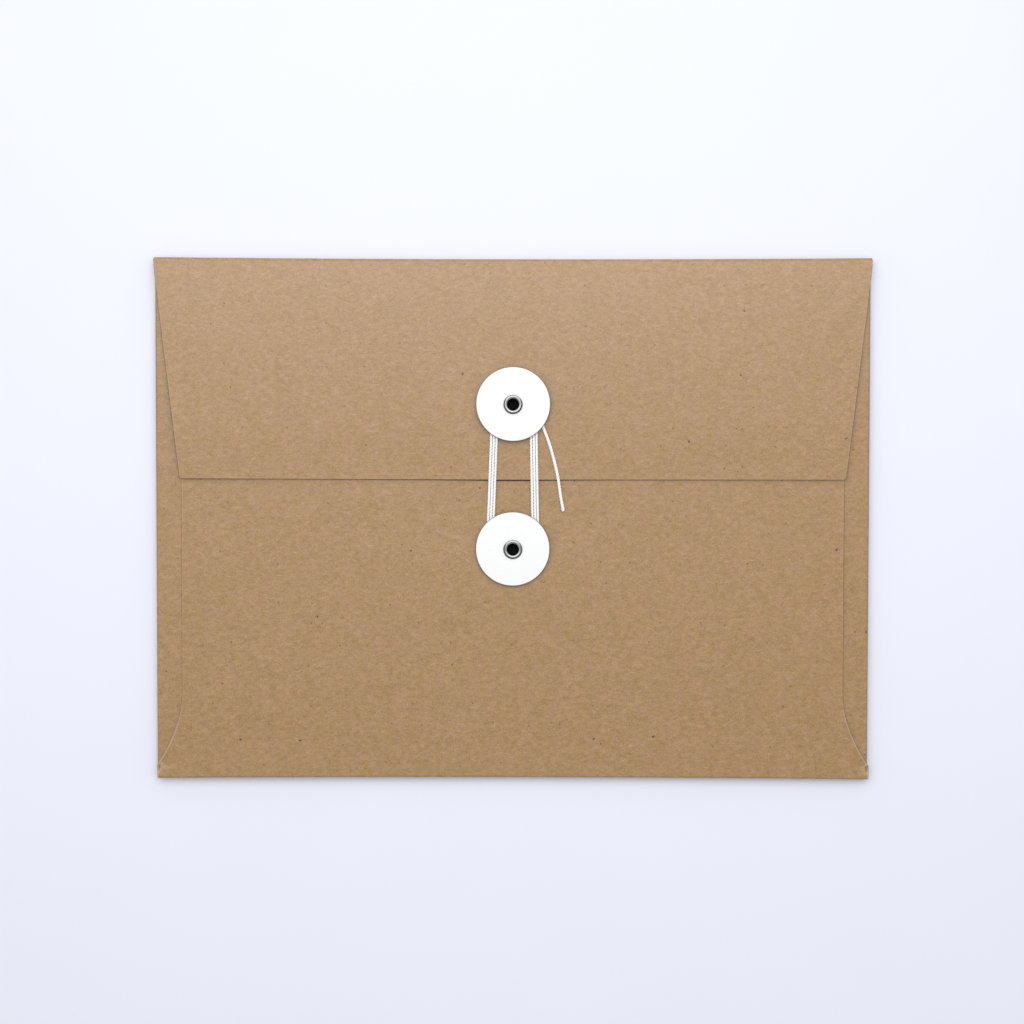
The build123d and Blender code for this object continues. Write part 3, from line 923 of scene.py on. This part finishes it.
def flap_sheet(paper):
    """The closure flap, narrower at its edge, with rounded lower corners."""
    low_half = body_half - paper.flap_taper
    corner = paper.flap_corner
    edge = flap_edge + FLAP_TRIM
    rounded = [edge + corner * (1 - math.cos(turn)) for turn in np.linspace(0, math.pi / 2, 7)]
    fixed = [*rounded, *(top_line - row for row in CREASE_ROWS)]
    fixed += [flap_button.y + row for row in HOLE_ROWS]
    up = rows_between(paper, edge, top_line, fixed)
    taper = (up - flap_edge) / flap_depth
    half = low_half + (wide_half - low_half) * taper
    inside = np.clip(1 - (up - edge) / corner, 0, 1)
    half = half - corner * (1 - np.sqrt(1 - inside ** 2))
    share = columns(paper) / wide_half
    middle = sheet_of(half[:, None] * share, up[:, None], 0.0)
    missing = punch(middle, flap_button)
    middle[..., 2] = flap_height(paper, middle[..., 0], middle[..., 1])
    middle[..., 0] += paper.flap_skew * (1 - taper)[:, None] * np.abs(share)
    middle[..., 1] += paper.flap_tip * (1 - taper)[:, None] * (1 - share) / 2 * np.abs(share)
    blank = middle[..., :2].copy()
    blank[..., 1] = 2 * top_line + FOLD_LENGTH - up[:, None]
    middle = eased_out(paper, middle)
    return paper_mesh("closure_flap", middle, blank, (-1,), missing, row_shade=1.0, bevel=FLAP_BEVEL)


def fold_line(paper, steps):
    """The crease seen from the side, from the flap down to the front panel: a Bezier curve."""
    high = flap_high.z - PAPER / 2 - paper.crease_drop
    slope = paper.crease_drop * (SPRING_SHARE / SPRING + 2 * (1 - SPRING_SHARE) / RISE)
    reach = (top_high.y - PAPER / 2 - top_line) / BEZIER_REACH
    ends = np.array([(0, high), (reach, high - slope * reach), (reach, PAPER / 2), (0, PAPER / 2)])
    t = (1 - np.cos(np.linspace(0, math.pi, steps + 1)))[:, None] / 2
    line = (1 - t) ** 3 * ends[0] + 3 * t * (1 - t) ** 2 * ends[1]
    line = line + 3 * t ** 2 * (1 - t) * ends[2] + t ** 3 * ends[3]
    return top_line + line[:, 0], line[:, 1]


def top_sheet(paper):
    """The fold that the flap turns on."""
    out, height = fold_line(paper, 2 * FOLD_STEPS)
    middle = sheet_of(columns(paper), out[:, None], height[:, None])
    walked = np.concatenate([[0], np.cumsum(np.hypot(np.diff(out), np.diff(height)))])
    blank = middle[..., :2].copy()
    blank[..., 1] = (top_line + FOLD_LENGTH - walked)[:, None]
    return paper_mesh("top_fold", eased_out(paper, middle), blank, (0, -1))


# Pieces grown by geometry nodes


def plain_mesh(holder):
    """The mesh that an object in the scene shows; the object is then taken away."""
    seen = holder.evaluated_get(bpy.context.evaluated_depsgraph_get())
    mesh = bpy.data.meshes.new_from_object(seen)
    bpy.data.objects.remove(holder)
    return mesh


def grown(name, source, tree, **values):
    """The plain mesh that a tree of geometry nodes makes from a source mesh."""
    holder = bpy.data.objects.new(name, source)
    bpy.context.scene.collection.objects.link(holder)
    modifier = holder.modifiers.new(tree.name, "NODES")
    modifier.node_group = tree
    for socket in tree.interface.items_tree:
        key = socket.name.replace(" ", "_")
        if socket.in_out == "INPUT" and key in values:
            modifier[socket.identifier] = values[key]
    mesh = plain_mesh(holder)
    bpy.data.meshes.remove(source)
    mesh.name = name
    return mesh


def piece_tree(name, sizes):
    """A tree that makes a piece from a line: its sketch, what comes in and what goes out."""
    inputs = {"Geometry": "NodeSocketGeometry", **sizes, "Material": "NodeSocketMaterial"}
    return node_group(name, "GeometryNodeTree", inputs, ["Geometry"], "NodeSocketGeometry")


def finished(sketch, given, result, surface):
    """Ends a piece's tree: its surface made smooth and given its material."""
    smooth = sketch.place("GeometryNodeSetShadeSmooth", {"Geometry": surface})
    real = sketch.place("GeometryNodeRealizeInstances", {"Geometry": smooth.outputs[0]})
    painted = {"Geometry": real.outputs[0], "Material": given["Material"]}
    painted = sketch.place("GeometryNodeSetMaterial", painted)
    sketch.feed(result["Geometry"], painted.outputs[0])
    return sketch.tree


def turned_tree():
    """Turns a closed profile round an upright axis."""
    sketch, given, result = piece_tree("turned_piece", {"Radius": 0.002, "Segments": 128})
    profile = sketch.place("GeometryNodeMeshToCurve", {"Mesh": given["Geometry"]})
    circle = {"Resolution": given["Segments"], "Radius": given["Radius"]}
    ring = sketch.place("GeometryNodeCurvePrimitiveCircle", circle, mode="RADIUS")
    wall = {"Curve": ring.outputs["Curve"], "Profile Curve": profile.outputs[0]}
    wall = sketch.place("GeometryNodeCurveToMesh", wall)
    return finished(sketch, given, result, wall.outputs[0])


def turned(name, tree, profile, middle, segments, material):
    """A turned piece from its profile of radius and height, with its axis through a button."""
    ring = 0.5 * (min(radius for radius, _ in profile) + max(radius for radius, _ in profile))
    count = len(profile)
    wire = bpy.data.meshes.new(name)
    points = [(radius - ring, -height, 0.0) for radius, height in profile]
    wire.from_pydata(points, [(i, (i + 1) % count) for i in range(count)], [])
    mesh = grown(name, wire, tree, Radius=ring, Segments=segments, Material=material)
    mesh.transform(Matrix.Translation((middle.x, middle.y, 0.0)))
    if signed_volume(mesh) < 0:
        mesh.flip_normals()
    return mesh


def signed_volume(mesh):
    """Volume of a closed mesh, negative where its faces point inwards."""
    mesh.calc_loop_triangles()
    points = points_of(mesh)
    corners = points[np.array([triangle.vertices for triangle in mesh.loop_triangles])]
    return float(np.einsum("ij,ij->i", corners[:, 0], np.cross(corners[:, 1], corners[:, 2])).sum() / 6)


def arc(middle, radii, start, end, steps):
    """Points of a profile on part of an ellipse; angles are in degrees."""
    turns = np.radians(np.linspace(start, end, steps + 1))
    return [(middle[0] + radii[0] * math.cos(t), middle[1] + radii[1] * math.sin(t)) for t in turns]


EASE = 0.05 * MM              # how far the corners of a turned piece are cut back
RIM_ROWS = (0.5 * MM, 0.06 * MM)   # rows of a disc's mesh just inside its rounded edge
SEAT_GAP = 0.02 * MM          # between a disc and the rim of its eyelet
ROLL_FOOT = 0.04 * MM         # straight foot of an eyelet's rolled rim
BORE_EASE = 0.1 * MM          # how far the lower end of an eyelet's bore is cut back
HELD = 3.5 * MM               # radius within which an eyelet holds its disc level
FREE = (2.6 * MM, 7.6 * MM)   # radii where a disc starts to shift and wave, and where it does so fully
CORE_SHADE = (0.18 * MM, 0.1 * MM)  # how far in from a disc's rim its grey core and painted shade start to show, and show fully
CREVICE = 1.93 * MM           # radius outside which tarnish and painted shade lie on an eyelet's rim
# Steps of the dent round an eyelet: radius and share of its depth
DENT = ((3.4 * MM, 0.0), (3.1 * MM, 0.1), (2.75 * MM, 0.8), (2.5 * MM, 1.0))


def disc_profile(buttons, node):
    """A card disc: flat, softly cut at its rim and pressed in round its hole."""
    low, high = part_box(node)
    rim = (high.x - low.x) / 2
    edge = buttons.card_edge
    hole = buttons.barrel + EASE
    profile = [(hole, low.z), (hole + 0.4 * MM, low.z), (rim / 2, low.z)]
    profile += [(rim - edge - row, low.z) for row in RIM_ROWS]
    profile += arc((rim - edge, low.z + edge), (edge, edge), -90, 0, 5)
    profile += arc((rim - edge, high.z - edge), (edge, edge), 0, 90, 5)
    profile += [(rim - edge - row, high.z) for row in reversed(RIM_ROWS)]
    profile += [(rim * 0.6, high.z)]
    profile += [(radius, high.z - share * buttons.card_dent) for radius, share in DENT]
    profile += [(hole, high.z - buttons.card_dent)]
    return profile


def eyelet_profile(buttons, node, paper_bottom, disc_top):
    """An eyelet: rolled rim over the disc, barrel, and clinch turned out under the paper."""
    low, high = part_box(node)
    rim = (high.x - low.x) / 2
    bore, barrel, clinch = buttons.bore, buttons.barrel, buttons.clinch
    seat = disc_top + SEAT_GAP
    roll = ((rim - bore) / 2, high.z - seat - ROLL_FOOT)
    profile = [(bore, low.z + BORE_EASE), (bore, low.z + 0.4 * MM)]
    profile += [(bore, seat - 0.3 * MM), (bore, seat - EASE)]
    profile += arc((bore + roll[0], high.z - roll[1]), roll, 180, 0, 18)
    profile += [(rim - 0.02 * MM, seat), (rim - 0.12 * MM, seat - 0.01 * MM), (barrel + EASE, seat)]
    profile += [(barrel, seat - EASE), (barrel, paper_bottom + EASE), (barrel + EASE, paper_bottom)]
    lip = (paper_bottom - low.z) / 2
    profile += [(clinch - lip, paper_bottom)]
    profile += arc((clinch - lip, paper_bottom - lip), (lip, lip), 80, -90, 8)
    profile += [(bore + 0.3 * MM, low.z), (bore + BORE_EASE, low.z + 0.01 * MM)]
    return profile


def bend_disc(mesh, buttons, middle, shift, tilt, phase):
    """Sets a disc off the middle of its hole, bends its rim down and lets it wave a little."""
    points = points_of(mesh)
    away = points[:, :2] - np.array(middle[:2])
    reach = np.hypot(away[:, 0], away[:, 1])
    rim = reach.max()
    # The rim gets the grey core and painted shade for the disc's dark outline
    mark(mesh, "cut_edge", eased((reach - rim + CORE_SHADE[0]) / (CORE_SHADE[0] - CORE_SHADE[1])))
    share = eased((reach - FREE[0]) / (FREE[1] - FREE[0]))
    points[:, :2] += share[:, None] * np.array(shift)
    turn = np.arctan2(away[:, 1], away[:, 0])
    points[:, 2] += buttons.card_warp * share * np.cos(2 * turn + phase)
    points[:, 2] += tilt * share * away[:, 1] / rim
    points[:, 2] -= buttons.card_cup * np.clip((reach - HELD) / (rim - HELD), 0, 1) ** 2
    mesh.vertices.foreach_set("co", points.astype(np.float32).ravel())
    mesh.update()


def mark_crevice_shade(mesh, middle):
    """Marks the outer side of an eyelet's rim for tarnish and painted shade, less of it on the side towards
    the fold, where the light comes from.
    """
    points = points_of(mesh)
    across = points[:, 0] - middle.x
    up = points[:, 1] - middle.y
    reach = np.hypot(across, up)
    below = points[:, 2].max() - points[:, 2]
    outside = eased((reach - CREVICE) / (0.2 * MM)) * eased(below / (0.015 * MM))
    # rubbed is the side towards the light, which gets less of the painted shade
    rubbed = eased((up / reach - 0.3) / 0.6)
    mark(mesh, "crevice", outside * (1 - 0.8 * rubbed))


def twisted_tree():
    """Yarns twisted round a route: copies of it, set off in a helix and given a round section."""
    sizes = {
        "Plies": 3, "Yarn": 0.00018, "Lay": 0.0002, "Twist": 0.0024, "Step": 0.00015, "Sides": 8,
        "Splay": 0.0, "Splay Length": 0.002,
    }
    sketch, given, result = piece_tree("twisted_string", sizes)
    route = sketch.place("GeometryNodeMeshToCurve", {"Mesh": given["Geometry"]})
    even = {"Curve": route.outputs[0], "Length": given["Step"]}
    even = sketch.place("GeometryNodeResampleCurve", even, mode="LENGTH")
    level = sketch.place("GeometryNodeSetCurveNormal", {"Curve": even.outputs[0]}, mode="Z_UP")
    copies = {"Geometry": level.outputs[0], "Amount": given["Plies"]}
    copies = sketch.place("GeometryNodeDuplicateElements", copies, domain="SPLINE")
    tangent = sketch.place("GeometryNodeInputTangent").outputs[0]
    normal = sketch.place("GeometryNodeInputNormal").outputs[0]
    side = sketch.vector("CROSS_PRODUCT", tangent, normal)
    along = sketch.place("GeometryNodeSplineParameter").outputs["Length"]
    total = sketch.place("GeometryNodeSplineLength").outputs["Length"]
    place = sketch.math("DIVIDE", copies.outputs["Duplicate Index"], given["Plies"])
    turns = sketch.plus(sketch.math("DIVIDE", along, given["Twist"]), place)
    angle = sketch.times(turns, math.tau)
    start = sketch.math("SUBTRACT", total, given["Splay Length"])
    wider = sketch.math("MULTIPLY_ADD", sketch.step(along, start, total), given["Splay"], 1.0)
    reach = sketch.times(given["Lay"], wider)
    first = sketch.scaled(normal, sketch.times(reach, sketch.math("COSINE", angle)))
    second = sketch.scaled(side, sketch.times(reach, sketch.math("SINE", angle)))
    moved = {"Geometry": copies.outputs["Geometry"], "Offset": sketch.vector("ADD", first, second)}
    moved = sketch.place("GeometryNodeSetPosition", moved)
    section = {"Resolution": given["Sides"], "Radius": given["Yarn"]}
    section = sketch.place("GeometryNodeCurvePrimitiveCircle", section, mode="RADIUS")
    yarn = {"Curve": moved.outputs[0], "Profile Curve": section.outputs["Curve"], "Fill Caps": True}
    yarn = sketch.place("GeometryNodeCurveToMesh", yarn)
    return finished(sketch, given, result, yarn.outputs[0])


# String


ROUTE_STEPS = 10   # steps of a route between two of its control points


def route_mesh(name, controls, closed=False, thickness=0.0):
    """The smooth line that follows a route's control points, as a mesh of its points."""
    curve = bpy.data.curves.new(name, "CURVE")
    curve.dimensions = "3D"
    curve.resolution_u = ROUTE_STEPS
    curve.bevel_depth = thickness
    spline = curve.splines.new("NURBS")
    spline.points.add(len(controls) - 1)
    for point, place in zip(spline.points, controls):
        point.co = (*place, 1.0)
    spline.order_u = 3
    spline.use_endpoint_u = not closed
    spline.use_cyclic_u = closed
    holder = bpy.data.objects.new(name, curve)
    bpy.context.scene.collection.objects.link(holder)
    mesh = plain_mesh(holder)
    bpy.data.curves.remove(curve)
    return mesh


YARN_SHARE = 0.28         # radius of a yarn, as a share of the string's diameter
KNOT_RADIUS = 0.17 * MM   # of the string in the knot, which is pulled tight
KNOT_STEPS = 24           # control points of the knot
FIRST_END = 0.9 * MM      # straight length before the first turn
CUT_END = 1.8 * MM        # length over which the yarns splay at the cut end
TURN_STEP = 30            # degrees between the control points of a half turn
GROOVE = 0.55 * MM        # middle of the string below the underside of a disc
STRAND_PLACES = (
    # down from the middle of the flap's button, and height above the lower groove, as a share of the step
    (4.0 * MM, 1.0),
    (9.5 * MM, 0.94),
    (14.0 * MM, 0.72),
    (19.4 * MM, 0.44),
    (24.0 * MM, 0.14),
    (28.0 * MM, -0.07),
    (33.0 * MM, 0.0),
)

# Free end: across and towards the fold from the middle of the flap's button, and up from its groove
TAIL_PLACES = (
    (6.8 * MM, -1.6 * MM, -0.03 * MM),
    (7.53 * MM, -5.3 * MM, -0.07 * MM),
    (8.87 * MM, -8.6 * MM, -0.1 * MM),
    (9.83 * MM, -11.5 * MM, -0.18 * MM),
    (11.03 * MM, -16.0 * MM, -0.3 * MM),
    (11.64 * MM, -19.0 * MM, -0.36 * MM),
    (11.88 * MM, -20.6 * MM, -0.45 * MM),
    (12.16 * MM, -22.8 * MM, -0.64 * MM),
    (12.52 * MM, -24.9 * MM, -0.72 * MM),
    (13.0 * MM, -27.3 * MM, -0.735 * MM),
)


def half_turn(button, shift, start, end, side, share=1.0):
    """Control points of a half turn round a button, from the left at its top and from the right below."""
    points = []
    count = 180 // TURN_STEP
    for index in range(count):
        part = (index + 0.5) / count
        if part > share:
            break
        turn = math.pi * (1 - part) if side > 0 else -math.pi * part
        radius = (start + (end - start) * part) / math.cos(math.radians(TURN_STEP / 2))
        across = button.x + shift + radius * math.cos(turn)
        points.append((across, button.y + radius * math.sin(turn), button.z - GROOVE))
    return points


def reaches(string, count):
    """How far across strand number count lies, at the flap's button and at the body's."""
    side = 1 if count % 2 else -1
    step = count * string.pitch / 2
    upper = side * (string.upper_turn - string.pinch + step)
    lower = side * (string.lower_turn + step) + string.lower_shift
    return upper, lower


def strand(string, count):
    """Control points of one strand between the buttons; odd ones run down."""
    upper, lower = reaches(string, count)
    upper += string.upper_shift
    span = flap_button.y - body_button.y
    low = body_button.z - GROOVE
    rise = flap_button.z - body_button.z
    points = []
    for down, share in STRAND_PLACES:
        across = upper + (lower - upper) * down / span
        points.append((across, flap_button.y - down, low + rise * share))
    return points if count % 2 else points[::-1]


def winding_route(string):
    """The wound string, from its knot to the top of the last half turn."""
    last = 2 * string.loops
    start_x = -string.upper_turn
    high = flap_button.z - GROOVE
    route = [(start_x, flap_button.y - FIRST_END, high), (start_x, flap_button.y, high)]
    for count in range(last + 1):
        if count:
            route += strand(string, count)
        first = string.pitch * count / 2
        second = first + string.pitch / 2
        if count % 2:
            turn = string.lower_turn
            route += half_turn(body_button, string.lower_shift, turn + first, turn + second, -1)
        else:
            turn = string.upper_turn
            share = 0.5 if count == last else 1.0
            route += half_turn(flap_button, 0.0, turn + first, turn + second, 1, share)
    return route


def tail_route(string):
    """The free end, from the top of the last half turn."""
    last = 2 * string.loops
    first = string.upper_turn + string.pitch * last / 2
    turn = half_turn(flap_button, 0.0, first, first + string.pitch / 2, 1)
    half = len(turn) // 2
    join = tuple((a + b) / 2 for a, b in zip(turn[half - 1], turn[half]))
    high = flap_button.z - GROOVE
    tail = [(flap_button.x + x, flap_button.y + y, high + z) for x, y, z in TAIL_PLACES]
    return [join, *turn[half:], *tail]


def knot_route(middle, size):
    """An overhand knot pulled tight: a trefoil, laid flat."""
    points = []
    for index in range(KNOT_STEPS):
        t = math.tau * index / KNOT_STEPS
        x = math.sin(t) + 2 * math.sin(2 * t)
        y = math.cos(t) - 2 * math.cos(2 * t)
        z = -math.sin(3 * t)
        points.append((middle.x + size[0] * x / 3, middle.y + size[1] * y / 3, middle.z + size[2] * z))
    return points


def tied_knot(cotton):
    """The knot that ties the string to the flap's button."""
    low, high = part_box("string_knot")
    size = [reach - KNOT_RADIUS for reach in (high - low) / 2]
    knot = route_mesh("string_knot", knot_route((low + high) / 2, size), True, KNOT_RADIUS)
    knot.materials.clear()
    knot.materials.append(cotton)
    knot.shade_smooth()
    return add_piece("string_knot_tied", knot, "white_string", "flap", "string_knot")


def spun(scene, tree, node, controls, diameter, **sizes):
    """A length of string along its route: the piece, and the points of the route."""
    string = scene.envelope_string
    route = route_mesh(node, controls)
    path = [tuple(vertex.co) for vertex in route.vertices]
    yarn = diameter * YARN_SHARE
    mesh = grown(
        node + "_cotton", route, tree, Plies=string.plies, Yarn=yarn, Lay=diameter / 2 - yarn,
        Twist=string.twist, Material=finish(scene, "cotton"), **sizes,
    )
    return add_piece(node + "_cotton", mesh, "white_string", "flap", node), path


# Operators


class ENVELOPE_OT_fold_body(bpy.types.Operator):
    """Fold the front, the sides and the back of the envelope"""

    bl_idname = "envelope.fold_body"
    bl_label = "Fold Body"

    def execute(self, context):
        paper = context.scene.envelope_paper
        kraft = finish(context.scene, "kraft")
        made = {
            "front_panel": (front_sheet(paper), ("front_panel",)),
            "left_side": (side_sheet(paper, -1), ("left_fold", "left_side_flap")),
            "right_side": (side_sheet(paper, 1), ("right_fold", "right_side_flap")),
            "back_panel": (back_sheet(paper), ("bottom_fold", "back_panel")),
        }
        for name, (mesh, nodes) in made.items():
            mesh.materials.append(kraft)
            add_piece(name + "_paper", mesh, "kraft_paper", "envelope", *nodes)
        for node in ("left_seam_glue", "right_seam_glue"):
            paint_node(node, finish(context.scene, "glue"))
        return {"FINISHED"}


class ENVELOPE_OT_fold_flap(bpy.types.Operator):
    """Fold the closure flap and the crease that it turns on"""

    bl_idname = "envelope.fold_flap"
    bl_label = "Fold Flap"

    def execute(self, context):
        paper = context.scene.envelope_paper
        kraft = finish(context.scene, "kraft")
        flap = flap_sheet(paper)
        flap.materials.append(kraft)
        add_piece("closure_flap_paper", flap, "kraft_paper", "flap", "closure_flap")
        crease = top_sheet(paper)
        crease.materials.append(kraft)
        piece = add_piece("top_fold_paper", crease, "kraft_paper", None, "top_fold")
        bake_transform(piece)
        return {"FINISHED"}


class ENVELOPE_OT_set_buttons(bpy.types.Operator):
    """Turn the card discs and the eyelets that hold them"""

    bl_idname = "envelope.set_buttons"
    bl_label = "Set Buttons"

    def execute(self, context):
        buttons = context.scene.envelope_buttons
        card = finish(context.scene, "card")
        nickel = finish(context.scene, "nickel")
        tree = turned_tree()
        # Middle, bodies of disc and eyelet, underside of the paper, shift, tilt and phase of the disc
        places = {
            "flap": (flap_button, "flap_disc", "flap", flap_low.z, buttons.flap_shift, 0.0, 0.7),
            "body": (
                body_button, "body_disc", "envelope", back_low.z, buttons.body_shift, buttons.card_tilt, 2.1,
            ),
        }
        for name, (middle, disc_body, eyelet_body, paper_bottom, shift, tilt, phase) in places.items():
            node = name + "_button"
            profile = disc_profile(buttons, node)
            disc = turned(node + "_card", tree, profile, middle, buttons.segments, card)
            bend_disc(disc, buttons, middle, shift, tilt, phase)
            add_piece(node + "_card", disc, "white_card", disc_body, node)
            _, disc_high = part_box(node)
            profile = eyelet_profile(buttons, name + "_eyelet", paper_bottom, disc_high.z)
            eyelet = turned(name + "_eyelet_metal", tree, profile, middle, buttons.segments, nickel)
            mark_crevice_shade(eyelet, middle)
            add_piece(name + "_eyelet_metal", eyelet, "nickel", eyelet_body, name + "_eyelet")
            paint_node(node + "_spacer", card)
            # The black patch is painted shade: it makes the eyelet's hole look deep black
            paint_node(name + "_eyelet_patch", finish(context.scene, "black"))
        return {"FINISHED"}


class ENVELOPE_OT_wind_string(bpy.types.Operator):
    """Wind the string round both buttons and lay its free end"""

    bl_idname = "envelope.wind_string"
    bl_label = "Wind String"

    def execute(self, context):
        scene = context.scene
        string = scene.envelope_string
        tree = twisted_tree()
        knot = tied_knot(finish(scene, "cotton"))
        route = winding_route(string)
        winding, path = spun(
            scene, tree, "string_winding", route, string.diameter, Step=0.16 * MM, Sides=7,
        )
        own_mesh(winding)
        loose = string.diameter * string.slack
        tail, path = spun(
            scene, tree, "string_tail", tail_route(string), loose, Step=0.1 * MM, Sides=8,
            Splay=string.splay, Splay_Length=CUT_END,
        )
        return {"FINISHED"}


FLOOR_HALF = 8.0              # metres from its middle to an edge of the floor
FLOOR_GAP = 0.02 * MM         # between the floor and the lowest part of the front
WINDOW_WIDTH = 0.5            # metres along the longer side of the large soft light
WINDOW_DEPTH = 0.25           # metres along its shorter side
SENSOR = 36.0                 # millimetres across the camera's picture


class ENVELOPE_OT_set_stage(bpy.types.Operator):
    """Lay the floor, hang the lights and place the camera"""

    bl_idname = "envelope.set_stage"
    bl_label = "Set Stage"

    def execute(self, context):
        scene = context.scene
        stage = scene.envelope_stage
        scene.view_settings.view_transform = "Standard"
        self.lay_floor(scene, stage)
        self.hang_window(scene, stage)
        self.light_sky(scene, stage)
        self.place_camera(scene, stage)
        return {"FINISHED"}

    def lay_floor(self, scene, stage):
        half = FLOOR_HALF
        low = -scene.envelope_paper.belly - FLOOR_GAP
        mesh = bpy.data.meshes.new("floor")
        corners = [(-half, -half, low), (half, -half, low), (half, half, low), (-half, half, low)]
        mesh.from_pydata(corners, [], [(0, 1, 2, 3)])
        material, sketch = new_material("floor")
        place = sketch.on_piece()
        cloud = sketch.noise(place, 30.0, 3.0)
        tone = sketch.math("MULTIPLY_ADD", cloud, 0.02, 0.99)
        base = sketch.scaled(tuple(stage.floor), tone)
        dress(sketch, None, Base_Color=base, Roughness=0.8, Specular_IOR_Level=0.2)
        mesh.materials.append(material)
        floor = bpy.data.objects.new("floor", mesh)
        scene.collection.objects.link(floor)

    def hang_window(self, scene, stage):
        light = bpy.data.lights.new("window", "AREA")
        light.shape = "RECTANGLE"
        light.size = WINDOW_WIDTH
        light.size_y = WINDOW_DEPTH
        light.energy = stage.window_power
        window = bpy.data.objects.new("window", light)
        window.location = stage.window_place
        window.visible_camera = False
        window.rotation_mode = "QUATERNION"
        window.rotation_quaternion = Vector(stage.window_place).to_track_quat("Z", "Y")
        scene.collection.objects.link(window)

    def light_sky(self, scene, stage):
        world = bpy.data.worlds.new("sky")
        world.use_nodes = True
        scene.world = world
        sketch = Sketch(world.node_tree)
        sky = world.node_tree.nodes["Background"]
        direction = sketch.place("ShaderNodeTexCoord").outputs["Generated"]
        height = sketch.place("ShaderNodeSeparateXYZ", {0: direction}).outputs["Z"]
        sides = {0: direction, 1: stage.sky_lean}
        lean = sketch.place("ShaderNodeVectorMath", sides, operation="DOT_PRODUCT")
        lean = sketch.times(lean.outputs["Value"], sketch.step(height, 0.0, 0.5, 0.4, 1.0))
        lean = sketch.plus(lean, 1.0)
        bright = sketch.times(lean, sketch.step(height, 0.0, 0.6, 0.8, 1.0))
        sketch.feed(sky.inputs["Color"], sketch.scaled(tuple(stage.sky), bright))
        sky.inputs["Strength"].default_value = stage.sky_strength

    def place_camera(self, scene, stage):
        data = bpy.data.cameras.new("camera")
        data.lens = stage.camera_lens
        data.sensor_width = SENSOR
        data.clip_start = 0.01
        camera = bpy.data.objects.new("camera", data)
        camera.location = stage.camera_place
        camera.rotation_euler = stage.camera_turn
        scene.collection.objects.link(camera)
        scene.camera = camera


class ENVELOPE_PT_build(bpy.types.Panel):
    """Lists the steps that dress the envelope"""

    bl_label = "String Tie Envelope"
    bl_idname = "ENVELOPE_PT_build"
    bl_space_type = "VIEW_3D"
    bl_region_type = "UI"
    bl_category = "Envelope"

    def draw(self, context):
        for step in STEPS:
            self.layout.operator(step.bl_idname)
        for name in SETTINGS:
            settings = getattr(context.scene, name)
            box = self.layout.box()
            for prop in settings.bl_rna.properties:
                if not prop.is_readonly and prop.identifier != "name":
                    box.prop(settings, prop.identifier)


SETTINGS = {
    "envelope_paper": PaperSettings,
    "envelope_buttons": ButtonSettings,
    "envelope_string": StringSettings,
    "envelope_stage": StageSettings,
}
STEPS = (
    ENVELOPE_OT_fold_body,
    ENVELOPE_OT_fold_flap,
    ENVELOPE_OT_set_buttons,
    ENVELOPE_OT_wind_string,
    ENVELOPE_OT_set_stage,
)
CLASSES = (*SETTINGS.values(), *STEPS, ENVELOPE_PT_build)


def register():
    for made in CLASSES:
        bpy.utils.register_class(made)
    for name, settings in SETTINGS.items():
        setattr(bpy.types.Scene, name, PointerProperty(type=settings))


def unregister():
    for name in SETTINGS:
        delattr(bpy.types.Scene, name)
    for made in reversed(CLASSES):
        bpy.utils.unregister_class(made)


def main():
    register()
    bpy.ops.envelope.fold_body()
    bpy.ops.envelope.fold_flap()
    bpy.ops.envelope.set_buttons()
    bpy.ops.envelope.wind_string()
    bpy.ops.envelope.set_stage()


if __name__ == "__main__":
    main()
